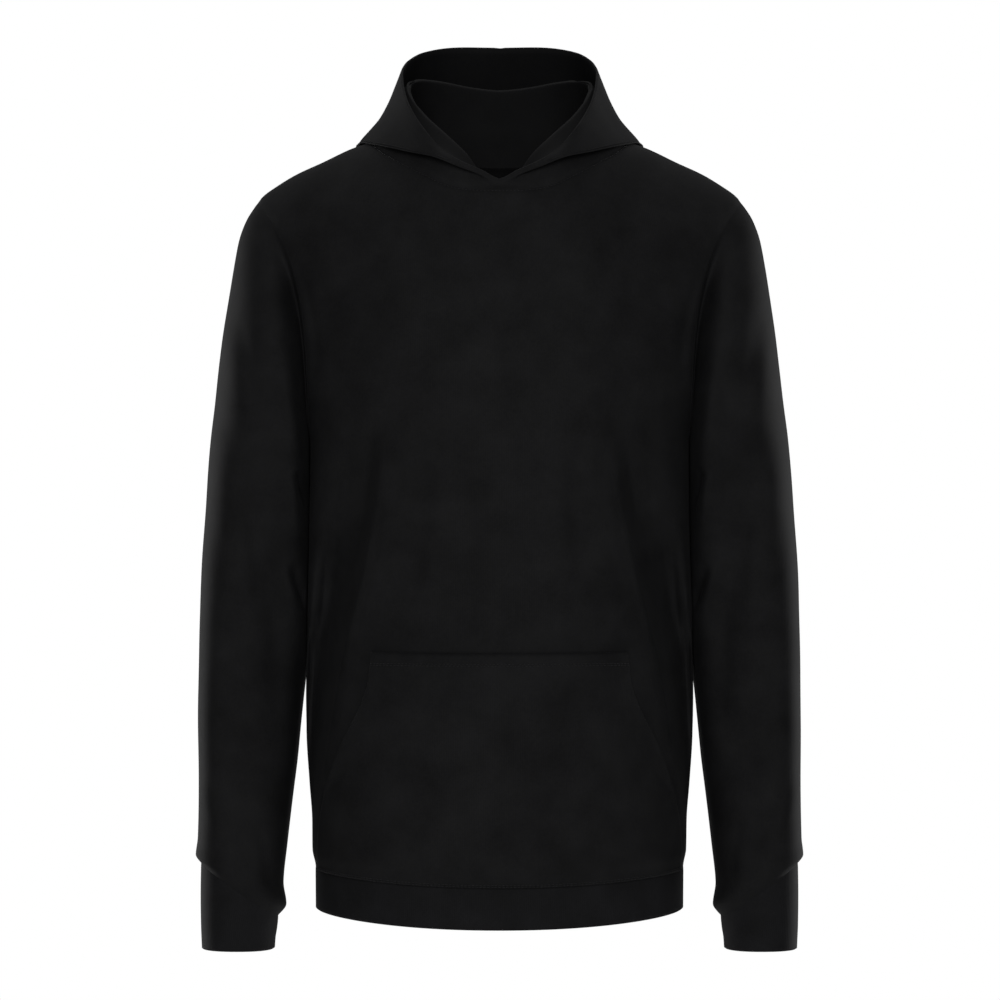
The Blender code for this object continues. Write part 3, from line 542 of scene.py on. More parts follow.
def half_panel(side):
    """One half of the front or back as (x, z): level rows up to the armpit, and above it rows
    blended between the armhole, the centre line, the neck opening and the shoulder seam."""
    share = panel_columns(side)
    count = len(share) - 1
    rows = np.linspace(HEM_Z, ARMPIT_Z, LOWER_ROWS + 1)
    down = ((ARMPIT_Z - rows) / (ARMPIT_Z - HEM_Z))[:, None]
    z_low = rows[:, None] - HEM_DIP[side] * down**6 * (1 - share**2)
    x_low = share * smooth(z_low, *BODY_WIDTH.values())

    neck_count = PANEL_FINE * NECK_PARTS[side]
    neck_x = NECK_X * np.sin(np.pi / 2 * np.arange(neck_count + 1) / neck_count)
    neck = np.stack([neck_x, smooth(neck_x, NECK["across"], NECK[side])], axis=1)
    seam_x = np.linspace(NECK_X, SHOULDER_X, PANEL_FINE * SHOULDER_PARTS + 1)[1:]
    top = np.concatenate([neck, np.stack([seam_x, shoulder_height(seam_x)], axis=1)])

    low = np.stack([x_low[-1], z_low[-1]], axis=1)
    hole = armhole(side)[:, [0, 2]]
    up = ((hole[:, 1] - ARMPIT_Z) / (SHOULDER_Z - ARMPIT_Z))[:, None, None]
    centre = low[0] + (top[0] - low[0]) * up[:, 0]
    over = ((np.arange(count + 1) / count) ** 2)[None, :, None]
    high = (1 - up) * low + up * top + (1 - over) * centre[:, None] + over * hole[:, None]
    high -= (1 - over) * ((1 - up) * low[0] + up * top[0])
    high -= over * ((1 - up) * low[-1] + up * top[-1])
    return np.concatenate([np.stack([x_low, z_low], axis=2), high[1:]])


def body_panel(side):
    """The front or back: both halves in one grid, with rows from hem to shoulder."""
    half = half_panel(side)
    flat = np.concatenate([half[:, :0:-1] * np.array([-1.0, 1.0]), half], axis=1)
    x, z = flat[..., 0], flat[..., 1]
    return Cloth(np.stack([x, body_y(x, z, side), z], axis=2), turned=side == "back")


def ring_points(outer, inner, half_depth, turn, flat=0.0):
    """Rings that hang between an outer and an inner point, each a superellipse that is squarer
    on its inner half where the sleeve hangs flat."""
    flat = np.where(np.cos(turn) < 0, np.reshape(flat, (-1, 1)), 0.0)
    power = 2 / (ROUND_SQUARENESS + (FLAT_SQUARENESS - ROUND_SQUARENESS) * flat)
    cos = np.sign(np.cos(turn)) * np.abs(np.cos(turn)) ** power
    sin = np.sign(np.sin(turn)) * np.abs(np.sin(turn)) ** power
    points = ((outer + inner) / 2)[:, None] + ((outer - inner) / 2)[:, None] * cos[..., None]
    points[..., 1] -= half_depth[:, None] * sin
    return points


def round_turn():
    """The angle of each point round a sleeve: 0 outside, a quarter in front, a half inside."""
    return np.pi * np.arange(2 * ARMHOLE_STEPS) / ARMHOLE_STEPS


def finer(table, fine):
    """The columns of a table at more places between its rows."""
    rows = len(next(iter(table.values())))
    at = np.linspace(0, rows - 1, (rows - 1) * fine + 1)
    return at, {name: smooth(at, np.arange(rows), column) for name, column in table.items()}


def sleeve():
    """The wearer's left sleeve: rings from the armhole's own points down to the cuff seam."""
    ring, size = finer(SLEEVE_RINGS, SLEEVE_FINE)
    turn = round_turn()
    outer_z, inner_z, middle = size["outer_height"], size["inner_height"], size["middle_y"]
    outer = np.stack([smooth(outer_z, *SLEEVE_OUTER.values()), middle, outer_z], axis=1)
    inner = np.stack([smooth(inner_z, *SLEEVE_INNER.values()), middle, inner_z], axis=1)
    inner[:, 1] *= ease(ring)
    flat = ease(ring / 5 - 0.4) * (1 - ease((ring - 11) / 4))
    inner[:, 1] += SLEEVE_TUCK * flat
    points = ring_points(outer, inner, size["half_depth"], turn, flat)

    seam = np.concatenate([armhole("front")[::-1], armhole("back")[1:-1]])
    fade = ease(1 - ring / ARMHOLE_FADE)[:, None, None]
    points = points + fade * (seam - points[0])

    away = np.linalg.norm(points - points[0], axis=2)
    in_front = np.clip(np.sin(turn), 0, 1) ** 2
    hollow = smooth(points[0, :, 2], *HOLLOW.values()) * in_front
    points[..., 1] += hollow * (away / HOLLOW_REACH) * np.exp(1 - away / HOLLOW_REACH)

    x, y, z = np.moveaxis(points, 2, 0)
    holes = (np.interp(z, *armhole(side)[:, [2, 1]].T) for side in SIDE)
    open_from, open_to = holes
    in_opening = (z > ARMPIT_Z) & (y > open_from) & (y < open_to)
    beside = body_half_width(y, z) + np.minimum(CLEAR, away * CLEAR_SLOPE)
    x[1:] = np.maximum(x, np.where((z < BESIDE_BELOW) & ~in_opening, beside, 0))[1:]
    return Cloth(points, ring=True)


def cuff(sleeve_end):
    """The wearer's left cuff, from the sleeve's last ring down to its level lower edge."""
    down, size = finer(CUFF_RINGS, CUFF_FINE)
    outer = np.stack([size["outer_across"], size["middle_y"], size["outer_height"]], axis=1)
    inner = np.stack([size["inner_across"], size["middle_y"], size["inner_height"]], axis=1)
    points = ring_points(outer, inner, size["half_depth"], round_turn())
    points += (1 - ease(down))[:, None, None] * (sleeve_end - points[0])
    return Cloth(points, ring=True)


def hem_band(front, back):
    """The band round the hem: from the panels' lower edges down, in one ring."""
    top = np.concatenate([front.points[0], back.points[0, -2:0:-1]])
    wide = smooth(top[:, 2], *BODY_WIDTH.values())
    rings = []
    for down in np.linspace(0, 1, BAND_ROWS + 1):
        z = top[:, 2] - down * BAND_HEIGHT
        x = top[:, 0] * smooth(z, *BODY_WIDTH.values()) / wide
        front_share = depth(z, "front") / depth(top[:, 2], "front")
        back_share = depth(z, "back") / depth(top[:, 2], "back")
        y = top[:, 1] * np.where(top[:, 1] < 0, front_share, back_share)
        rings.append(np.stack([x, y, z], axis=1))
    return Cloth(np.array(rings), ring=True, turned=True)


def creased_front(x, z):
    """The creased front's places at (x, z), and the way out of its form there, from the form's
    slopes across and up over a step of one millimetre to each side."""
    y = body_y(x, z, "front") + crease_depth(x, z, "front", BODY_CREASES, 1.0) + drop_depth(x, z)
    across = (body_y(x + 1, z, "front") - body_y(x - 1, z, "front")) / 2
    up = (body_y(x, z + 1, "front") - body_y(x, z - 1, "front")) / 2
    out = unit(np.stack([across, -np.ones(np.shape(x)), up], axis=-1))
    return np.stack([x, y, z], axis=-1), out


def pocket():
    """The kangaroo pocket: the front's own surface, moved out by the gap, the cloth and the puff
    of the pocket. The puff is a power of a sine up the pocket, none at its top and foot, times a
    share that falls to none at its short sides and is kept along its slanted openings."""
    parts = NECK_PARTS["front"] + SHOULDER_PARTS
    part = np.linspace(-POCKET_PART, POCKET_PART, 2 * PANEL_FINE * POCKET_PART + 1)
    share = np.sin(np.pi / 2 * np.abs(part) / parts) ** (2 / SQUARENESS)
    widest = np.sin(np.pi / 2 * POCKET_PART / parts) ** (2 / SQUARENESS)
    rows = np.linspace(HEM_Z, POCKET_TOP, POCKET_FINE)[:, None]
    side = smooth(rows, *POCKET_SIDE.values())
    across = side * share / widest
    down = (ARMPIT_Z - rows) / (ARMPIT_Z - HEM_Z)
    z = rows - HEM_DIP["front"] * down**6 * (1 - across**2)
    x = np.sign(part) * across * smooth(z, *BODY_WIDTH.values())
    points, out = creased_front(x, z)

    column = part[None] / POCKET_PART
    half_opening = (POCKET_CORNER - POCKET_OPENING_END) / 2
    opening = (rows - POCKET_OPENING_END) * (POCKET_CORNER - rows) / half_opening**2
    held_side = np.maximum(1 - column**6, OPENING_SHARE * np.clip(opening, 0, 1))
    up = smooth(rows, *POCKET_ROWS.values())
    puff = POCKET_PUFF * np.sin(np.pi * up) ** POCKET_FLATNESS * held_side
    puff[[0, -1]] = 0.0
    return Cloth(points + out * (POCKET_GAP + WALL + puff)[..., None])


def hood(front, back):
    """The wearer's left half of the hood: columns round the neck from centre front to centre
    back, each a curve through neck seam, crest, inner layer, fold, outer wall and rim."""
    middle = {"front": front.points.shape[1] // 2, "back": back.points.shape[1] // 2}
    count = {side: PANEL_FINE * NECK_PARTS[side] for side in NECK_PARTS}
    neck_front = front.points[-1, middle["front"] : middle["front"] + count["front"] + 1]
    neck_back = back.points[-1, middle["back"] : middle["back"] + count["back"]][::-1]
    neck = np.concatenate([neck_front, neck_back])

    size = {name: rounded_column(column, len(neck)) for name, column in HOOD_COLUMNS.items()}
    crest, fold, rim = (
        np.stack([size[line + axis] for axis in ("_x", "_y", "_z")], axis=1)
        for line in ("crest", "fold", "rim")
    )
    away = (crest + fold) / 2 - np.array([0.0, HOOD_CENTRE_Y, 0.0])
    away[:, 2] = 0
    away[0], away[-1] = (0, -1, 0), (0, 1, 0)
    away = unit(away)
    rise = (neck + crest) / 2 + away * size["lean_in"][:, None]
    inner = (crest + fold) / 2 + np.array([0.0, 0.0, 1.0]) * size["drop_in"][:, None]
    outer = (fold + rim) / 2 + away * size["belly_out"][:, None]
    outer[:, 2] -= size["belly_low"]
    knots = np.stack([neck, rise, crest, inner, fold, outer, rim])
    points = section(knots, size["fold_round"])
    crest_row = HOOD_FINE * sum(HOOD_PARTS[:CREST_KNOT])
    points[crest_row:] = clear_of_body(points[crest_row:], HOOD_CLEAR)
    points[:, [0, -1], 0] = 0.0
    return Cloth(points)


def rounded_column(column, count):
    """A table's column at even places along it: a cubic through its values, whose slope at each
    is that of the line through its neighbours."""
    values = np.array(column, float)
    slope = np.concatenate([[0.0], (values[2:] - values[:-2]) / 2, [0.0]])
    if values[0] == 0 and values[-1] == 0:  # a line that crosses the middle square to it
        slope[0], slope[-1] = values[1], -values[-2]
    at = np.linspace(0, len(values) - 1, count)
    k = np.minimum(at.astype(int), len(values) - 2)
    return cubic(at - k, values[k], values[k + 1], slope[k], slope[k + 1])


def section(knots, fold_round):
    """Rows along each column's curve: cubics from knot to knot, whose directions at a knot are
    the mean of the straight ways to its neighbours. The fold's is drawn out to round it."""
    straight = np.diff(knots, axis=0)
    length = np.linalg.norm(straight, axis=2, keepdims=True)
    way = straight / np.maximum(length, 1e-6)
    turn = np.concatenate([way[:1], (way[:-1] + way[1:]) / 2, way[-1:]])
    fold = turn[FOLD_KNOT]
    turn[FOLD_KNOT] = unit(fold) * np.maximum(np.linalg.norm(fold, axis=1), fold_round)[:, None]
    rows = [knots[:1]]
    for k, part in enumerate(HOOD_PARTS):
        count = part * HOOD_FINE
        t = (np.arange(1, count + 1) / count)[:, None, None]
        rows.append(cubic(t, knots[k], knots[k + 1], length[k] * turn[k], length[k] * turn[k + 1]))
    return np.concatenate(rows)


# Creases


def from_path(x, z, path):
    """Each place's nearest point on a smooth path, as a share of the path, its distance from it,
    and its distance to the side of it that is away from the garment's middle."""
    knots = np.array(path, float)
    at = np.linspace(0, len(knots) - 1, 80)
    line = np.stack([smooth(at, np.arange(len(knots)), knots[:, k]) for k in (0, 1)], axis=1)
    dx, dz = x[:, None] - line[:, 0], z[:, None] - line[:, 1]
    gone = np.hypot(dx, dz)
    nearest = gone.argmin(1)
    pick = np.arange(len(nearest))
    way = unit(np.gradient(line, axis=0))[nearest]
    aside = dz[pick, nearest] * way[:, 0] - dx[pick, nearest] * way[:, 1]
    return nearest / (len(line) - 1), gone[pick, nearest], aside * np.sign(knots[:, 0].mean())


def near_path(x, z, path, reach_out):
    """Which places lie in the box round a path, widened by the reach."""
    knots = np.array(path, float)
    low, high = knots.min(0) - reach_out, knots.max(0) + reach_out
    return (x > low[0]) & (x < high[0]) & (z > low[1]) & (z < high[1])


def crease_depth(x, z, side, creases, facing):
    """How far the listed creases press the cloth in: round each path a trough with the profile of
    a bell curve, and a lip beside it on the garment's outer side, both fading out at the ends."""
    total = np.zeros(np.shape(x))
    for where, deep, wide, lip, path in creases:
        if where == side:
            near = near_path(x, z, path, 4 * wide)
            share, away, outward = from_path(x[near], z[near], path)
            trough = np.exp(-((away / wide) ** 2))
            rise = lip * np.exp(-(((outward - 1.7 * wide) / (1.1 * wide)) ** 2))
            total[near] += deep * np.sin(np.pi * share) ** 0.8 * (trough - rise)
    return total * facing


def drop_depth(x, z):
    """How far the two long folds carry the front straight back: a profile across the strip from
    the fold's edge to the side, times a depth along it, with a low lip inside the edge."""
    edge_x = np.where(x < 0, *(smooth(z, DROP_EDGE["height"], DROP_EDGE[way]) for way in ("right", "left")))
    wide = smooth(z, *BODY_WIDTH.values()) - edge_x
    beyond = np.abs(x) - edge_x
    share = np.clip(beyond / np.maximum(wide, 1), 0, 1)
    ribs, waist, hips = (smooth(share, DROP_FORM["share"], DROP_FORM[at]) for at in ("ribs", "waist", "hips"))
    form = hips + (waist - hips) * ease((z + 455) / 50)
    form = form + (ribs - form) * ease((z + 385) / 90)
    lip = np.exp(-(((beyond / DROP_LIP_WIDTH + 0.7) / 0.7) ** 2)) * DROP_LIP
    full = smooth(z, *DROP_DEPTH.values()) * (z < ARMPIT_Z + 27)
    return full * (form - lip / max(DROP_DEPTH["depth"]))


def slow_waves(x, z):
    """Slow uneven waves over the cloth, from a few sines that never line up."""
    return UNEVEN * (
        np.sin(x / 31 + 1.3 * np.sin(z / 57)) * np.sin(z / 43 + 0.9 * np.sin(x / 39))
        + 0.5 * np.sin(x / 17 + z / 29 + 2.0) * np.sin(z / 21 - x / 47)
    )


def crease_panel(cloth, side):
    """Lays a body panel's creases and waves, which fade out at its edges."""
    x, _, z = np.moveaxis(cloth.points, 2, 0)
    calm = cloth.calm(("first row", "last row", "first column", "last column"), CALM_SEAM)
    cloth.press((crease_depth(x, z, side, BODY_CREASES, 1.0) + slow_waves(x, z)) * calm)
    if side == "front":
        cloth.points[..., 1] += drop_depth(x, z) * calm


def crease_sleeve(cloth):
    """Lays a sleeve's creases on the half of the tube that faces each way, and its waves. Beside
    the body the cloth is kept as it is, so that it stays clear."""
    x, y, z = np.moveaxis(cloth.points, 2, 0)
    amount = slow_waves(x + 0.6 * y, z)
    for side, way in SIDE.items():
        facing = ease(cloth.face[..., 1] * way * 2.2)
        amount = amount + crease_depth(np.abs(x), z, side, SLEEVE_CREASES, facing)
    beside = ease(-cloth.face[..., 0] * np.sign(x) * 1.6 - 0.5)
    amount = np.where(amount < 0, amount * (1 - beside), amount)
    cloth.press(amount * cloth.calm(("first row", "last row"), CALM_SEAM))


def crease_hood(cloth):
    """Slow waves over the hood, which fade out at the neck seam, the middle and the front."""
    x, y, z = np.moveaxis(cloth.points, 2, 0)
    calm = cloth.calm(("first row",), CALM_NECK) * np.clip(np.abs(x) / 8, 0, 1) * ease(y / 50 + 1)
    cloth.press(0.8 * slow_waves(x + 0.7 * y, z) * calm)


# Meshes


def quads(index, ring):
    """Four corners for each cell of a grid of vertex numbers."""
    right = np.roll(index, -1, 1) if ring else index[:, 1:]
    left = index if ring else index[:, :-1]
    return np.stack([left[:-1], right[:-1], right[1:], left[1:]], axis=2).reshape(-1, 4)


def make_mesh(name, points, faces, *materials):
    """A smooth mesh object at the origin from points in millimetres and faces of four corners."""
    mesh = bpy.data.meshes.new(name)
    mesh.vertices.add(len(points))
    mesh.vertices.foreach_set("co", (points * METRES).astype(np.float32).ravel())
    mesh.loops.add(faces.size)
    mesh.loops.foreach_set("vertex_index", faces.astype(np.int32).ravel())
    mesh.polygons.add(len(faces))
    mesh.polygons.foreach_set("loop_start", np.arange(0, faces.size, 4, dtype=np.int32))
    mesh.update(calc_edges=True)
    mesh.validate()
    mesh.shade_smooth()
    for material in materials:
        mesh.materials.append(material)
    thing = bpy.data.objects.new(name, mesh)
    bpy.context.scene.collection.objects.link(thing)
    return thing


def knit_map(cloth):
    """Where the left and right edges of each column of cells lie on the cut cloth, in millimetres:
    along by the columns' lengths, and across by the rows' lengths from the panel's middle. A
    sleeve is measured both ways from its outer side, and its two edges meet inside the arm."""
    along = np.cumsum(np.concatenate([np.zeros_like(cloth.points[:1, :, 0]), cloth.steps(0)]), axis=0)
    steps = cloth.steps(1)
    across = np.cumsum(np.concatenate([np.zeros_like(steps[:, :1]), steps], axis=1), axis=1)
    if cloth.ring:
        along = np.concatenate([along, along[:, :1]], axis=1)
        total, half = across[:, -1:], steps.shape[1] // 2
        left, right = across[:, :-1].copy(), across[:, 1:].copy()
        left[:, half:] -= total
        right[:, half:] -= total
    else:
        across = across - across[:, across.shape[1] // 2][:, None]
        left, right = across[:, :-1], across[:, 1:]
    return np.stack([left, along[:, :-1]], axis=2), np.stack([right, along[:, 1:]], axis=2)


def wall(name, cloth, material, inside):
    """The cloth as a closed wall: outer face, inner face one wall behind it, and rims, which
    bulge along free edges. Where the piece is sewn the rim stays flat and its edges sharp, so
    that the shading runs on from piece to piece. The map of the cut cloth goes with its corners."""
    rows, columns = cloth.points.shape[:2]
    outer = cloth.points
    inner = outer - WALL * cloth.out
    count = rows * columns
    index = np.arange(count).reshape(rows, columns)
    skin = quads(index, cloth.ring)
    loops = [index[0], index[-1][::-1]]
    if not cloth.ring:
        loops = [np.concatenate([index[0], index[1:, -1], index[-1, -2::-1], index[-2:0:-1, 0]])]

    ahead, sewn = np.zeros(outer.shape), np.zeros((rows, columns), bool)
    ahead[0] += unit(outer[0] - outer[1])
    ahead[-1] += unit(outer[-1] - outer[-2])
    if not cloth.ring:
        ahead[:, 0] += unit(outer[:, 0] - outer[:, 1])
        ahead[:, -1] += unit(outer[:, -1] - outer[:, -2])
    for at, _ in cloth.sewn:
        ahead[at], sewn[at] = 0.0, True
    bulge = ((outer + inner) / 2 + RIM_BULGE * ahead).reshape(-1, 3)

    points = [outer.reshape(-1, 3), inner.reshape(-1, 3)]
    faces = [skin, skin[:, ::-1] + count]
    rounded_off = [np.ones(2 * len(skin), bool)]
    start = 2 * count
    for loop in loops:
        middle = start + np.arange(len(loop))
        a, b = loop, np.roll(loop, -1)
        c, d = middle, np.roll(middle, -1)
        faces += [np.stack([b, a, c, d], axis=1), np.stack([d, c, a + count, b + count], axis=1)]
        points.append(bulge[loop])
        rounded_off.append(np.tile(~(sewn.ravel()[a] & sewn.ravel()[b]), 2))
        start += len(loop)
    points, faces = np.concatenate(points), np.concatenate(faces)
    if cloth.turned:
        faces = faces[:, ::-1]

    thing = make_mesh(name, points, faces, material, inside)
    # Inner faces take the second material, whose darker colour is painted shade.
    looks = np.zeros(len(faces), np.int32)
    looks[len(skin) : 2 * len(skin)] = 1
    thing.data.polygons.foreach_set("material_index", looks)
    thing.data.polygons.foreach_set("use_smooth", np.concatenate(rounded_off))
    in_seam = np.zeros(len(points), bool)
    in_seam[: 2 * count] = np.tile(sewn.ravel(), 2)
    ends = np.empty(2 * len(thing.data.edges), np.int32)
    thing.data.edges.foreach_get("vertices", ends)
    thing.data.edges.foreach_set("use_edge_sharp", in_seam[ends.reshape(-1, 2)].all(axis=1))
    left, right = knit_map(cloth)
    places = np.stack([left[:-1], right[:-1], right[1:], left[1:]], axis=2).reshape(-1, 4, 2)
    places = np.concatenate([places, places[:, ::-1], np.zeros((len(faces) - 2 * len(places), 4, 2))])
    if cloth.turned:
        places = places[:, ::-1]
    layer = thing.data.uv_layers.new(name="cut cloth")
    layer.data.foreach_set("uv", (places * METRES).astype(np.float32).ravel())
    return thing


# Stitches


def along_edge(cloth, edge_name, distance, part=slice(None)):
    """The line on the cloth that keeps a distance from one of its edges, and the way out."""
    gone, points, out = cloth.from_edge(edge_name), cloth.points, cloth.face
    if "last" in edge_name:
        gone, points, out = gone[::-1], points[::-1], out[::-1]
    gone, points, out = gone[:, part], points[:, part], out[:, part]
    row = np.clip((gone < distance).sum(0) - 1, 0, len(gone) - 2)
    pick = np.arange(gone.shape[1])
    share = ((distance - gone[row, pick]) / (gone[row + 1, pick] - gone[row, pick]))[:, None]
    line = points[row, pick] * (1 - share) + points[row + 1, pick] * share
    return line, unit(out[row, pick] * (1 - share) + out[row + 1, pick] * share)


def stitch_row(line, out):
    """Stitches along a line: each a small six-sided spindle that lies on the cloth and sinks in
    at its ends, placed at even lengths along the line."""
    length = np.concatenate([[0.0], np.cumsum(np.linalg.norm(np.diff(line, axis=0), axis=1))])
    count = int(length[-1] // (STITCH_LENGTH + STITCH_GAP))
    starts = (np.arange(count) + 0.15) * length[-1] / count
    share = np.array([0.0, 0.12, 0.5, 0.88, 1.0])
    fat = np.array([0.25, 0.85, 1.0, 0.85, 0.25])
    at = starts[:, None] + share * STITCH_LENGTH
    centre = np.stack([np.interp(at, length, line[:, k]) for k in range(3)], axis=-1)
    up = unit(np.stack([np.interp(at, length, out[:, k]) for k in range(3)], axis=-1))
    ahead = unit(centre[:, -1:] - centre[:, :1])
    aside = unit(np.cross(up, ahead))
    centre = centre + up * (THREAD * (1.3 * fat - 0.75))[None, :, None]
    turn = np.pi / 3 * np.arange(6)
    circle = aside[:, :, None] * np.cos(turn)[:, None] + up[:, :, None] * np.sin(turn)[:, None]
    points = centre[:, :, None] + THREAD * fat[None, :, None, None] * circle
    index = np.arange(count * 5 * 6).reshape(count, 5, 6)
    left, right = index, np.roll(index, -1, 2)
    faces = np.stack([left[:, :-1], right[:, :-1], right[:, 1:], left[:, 1:]], axis=-1).reshape(-1, 4)
    ends = ((0, (3, 2, 1, 0)), (0, (5, 4, 3, 0)), (4, (0, 1, 2, 3)), (4, (0, 3, 4, 5)))
    caps = [index[:, row][:, order].reshape(-1, 4) for row, order in ends]
    return points.reshape(-1, 3), np.concatenate([faces, *caps])


def stitching(name, rows, material):
    """Joins rows of stitches into one object."""
    points, faces, start = [], [], 0
    for row_points, row_faces in rows:
        points.append(row_points)
        faces.append(row_faces + start)
        start += len(row_points)
    return make_mesh(name, np.concatenate(points), np.concatenate(faces), material)


def twin(cloth, edge_name, near):
    """Two rows of stitches beside each other, as a twin needle sews them."""
    return [stitch_row(*along_edge(cloth, edge_name, near + k * NEEDLES_APART)) for k in (0, 1)]


# Materials


def linear(hex_colour):
    """An sRGB hex colour as linear light."""
    value = np.array([int(hex_colour[k : k + 2], 16) for k in (1, 3, 5)]) / 255
    return (*np.where(value <= 0.04045, value / 12.92, ((value + 0.055) / 1.055) ** 2.4), 1.0)


def node(tree, kind, settings=(), links=()):
    """Adds a node, sets its properties and sockets, and links other nodes' sockets into it."""
    new = tree.nodes.new(kind)
    for name, value in dict(settings).items():
        if isinstance(name, str) and hasattr(new, name):
            setattr(new, name, value)
        else:
            new.inputs[name].default_value = value
    for name, source in dict(links).items():
        tree.links.new(source, new.inputs[name])
    return new


def new_material(name, roughness, specular):
    """A material, the function that adds nodes to it, and its shader."""
    material = bpy.data.materials.new(name)
    material.use_nodes = True
    shader = material.node_tree.nodes["Principled BSDF"]
    shader.inputs["Roughness"].default_value = roughness
    shader.inputs["Specular IOR Level"].default_value = specular
    return material, partial(node, material.node_tree), shader


def two_blacks(add, shader, share, dark, light):
    """Colours a material between two near blacks by a share that differs from place to place."""
    colour = add("ShaderNodeMix", {"data_type": "RGBA"}, {0: share})
    colour.inputs[6].default_value = linear(dark)
    colour.inputs[7].default_value = linear(light)
    shader.id_data.links.new(colour.outputs[2], shader.inputs["Base Color"])


def cloth_material(name, dark, light, wale, course, relief, fuzz):
    """Knit cloth, piece-dyed black, with its wale, course and relief in millimetres. Its wales and
    courses are the product of two waves on the map of the cut cloth, in their real directions;
    fibre fuzz is a fine noise over them. The colour wanders slowly between two near blacks, as
    dyed fleece does, and sheen is light caught by the fibres that stand out of the face."""
    maths, noise = "ShaderNodeMath", "ShaderNodeTexNoise"
    material, add, shader = new_material(name, 0.74, 0.12)
    shader.inputs["Sheen Weight"].default_value = 0.02
    shader.inputs["Sheen Roughness"].default_value = 0.45
    shader.inputs["Sheen Tint"].default_value = linear("#B9BABD")

    flat = add("ShaderNodeUVMap", {"uv_map": "cut cloth"}).outputs["UV"]
    split = add("ShaderNodeSeparateXYZ", links={0: flat})
    waves = []
    for axis, pitch, high in (("X", wale, 0.5), ("Y", course, 0.18)):
        turns = {"operation": "MULTIPLY", 1: 2 * np.pi / (pitch * METRES)}
        turned = add(maths, turns, {0: split.outputs[axis]})
        wave = add(maths, {"operation": "SINE"}, {0: turned.outputs[0]})
        raised = {"operation": "MULTIPLY_ADD", 1: high, 2: 1 - high}
        waves.append(add(maths, raised, {0: wave.outputs[0]}).outputs[0])
    stitch = add(maths, {"operation": "MULTIPLY"}, {0: waves[0], 1: waves[1]}).outputs[0]

    place = {"Vector": add("ShaderNodeTexCoord").outputs["Object"]}
    fibre = add(noise, {"Scale": 1 / (FIBRE * METRES), "Detail": 3.0, "Roughness": 0.6}, place)
    fuzzy = {"operation": "MULTIPLY_ADD", 1: fuzz}
    height = add(maths, fuzzy, {0: fibre.outputs["Fac"], 2: stitch})
    raised = {"Strength": 0.55, "Distance": relief * METRES}
    bump = add("ShaderNodeBump", raised, {"Height": height.outputs[0]})
    material.node_tree.links.new(bump.outputs["Normal"], shader.inputs["Normal"])

    cloudy = add(noise, {"Scale": 1 / (CLOUDS * METRES), "Detail": 4.0, "Roughness": 0.55}, place)
    flecks = add(noise, {"Scale": 1 / (FLECKS * METRES), "Detail": 2.0}, place)
    parts = {0: flecks.outputs["Fac"], 2: cloudy.outputs["Fac"]}
    blend = add(maths, {"operation": "MULTIPLY_ADD", 1: 0.35}, parts)
    shade = add("ShaderNodeMapRange", {"From Min": 0.42, "From Max": 0.95}, {"Value": blend.outputs[0]})
    two_blacks(add, shader, shade.outputs[0], dark, light)
    return material


def thread_material():
    """Polyester sewing thread, black: smoother than the knit, so that its rows catch the light. Its
    blacks are a little lighter than the knit's, partly as painted highlight for the thread's sheen.
    """
    material, add, shader = new_material("black sewing thread", 0.5, 0.25)
    place = {"Vector": add("ShaderNodeTexCoord").outputs["Object"]}
    twist = add("ShaderNodeTexNoise", {"Scale": 1 / (TWIST * METRES), "Detail": 2.0}, place)
    # The lighter pair of blacks is partly painted highlight for the thread's sheen.
    two_blacks(add, shader, twist.outputs["Fac"], "#131314", "#1E1E20")
    return material


# Room


def paper_room():
    """A pale paper floor, out of the picture below, and a white surround. The surround lights
    the cloth softly, at less strength than it shows at, as white paper lit on its own would."""
    x, y = np.meshgrid([-6.0, 6.0], [-6.0, 4.4])
    points = np.stack([x, y, np.full(x.shape, FLOOR_Z)], axis=2).reshape(-1, 3)
    paper, _, shader = new_material("white paper floor", 0.95, 0.5)
    shader.inputs["Base Color"].default_value = linear("#F4F4F3")
    floor = make_mesh("floor", points / METRES, quads(np.arange(4).reshape(2, 2), False), paper)

    world = bpy.data.worlds.new("white surround")
    world.use_nodes = True
    tree = world.node_tree
    seen = node(tree, "ShaderNodeLightPath").outputs["Is Camera Ray"]
    strength = node(tree, "ShaderNodeMapRange", {"To Min": SURROUND_LIGHT, "To Max": 1.0}, {"Value": seen})
    background = tree.nodes["Background"]
    background.inputs["Color"].default_value = (1, 1, 1, 1)
    tree.links.new(strength.outputs[0], background.inputs["Strength"])
    bpy.context.scene.world = world


def softbox(name, place, target, size, power):
    """A rectangular light that faces its target."""
    light = bpy.data.lights.new(name, "AREA")
    light.shape = "RECTANGLE"
    light.size, light.size_y = size
    light.energy = power
    lamp = bpy.data.objects.new(name, light)
    lamp.location = place
    lamp.rotation_euler = (Vector(target) - Vector(place)).to_track_quat("-Z", "Y").to_euler()
    bpy.context.scene.collection.objects.link(lamp)


def studio():
    """The camera looks straight ahead, level with the hoodie's middle, and its picture is 0.9 m
    wide there. A broad light hangs in front and above and a small one over the hood, and a tall
    strip at each side, a little behind, draws the bright lines down the sleeves."""
    camera = bpy.data.cameras.new("camera")
    camera.sensor_width = 36.0
    camera.lens = camera.sensor_width * CAMERA_AWAY / PICTURE_WIDE
    stand = bpy.data.objects.new("camera", camera)
    stand.location = (0.00045, -CAMERA_AWAY, -0.315)
    stand.rotation_euler = (np.pi / 2, 0, 0)
    bpy.context.scene.collection.objects.link(stand)
    bpy.context.scene.camera = stand
    for light in LIGHTS:
        softbox(*light)


# Building the hoodie


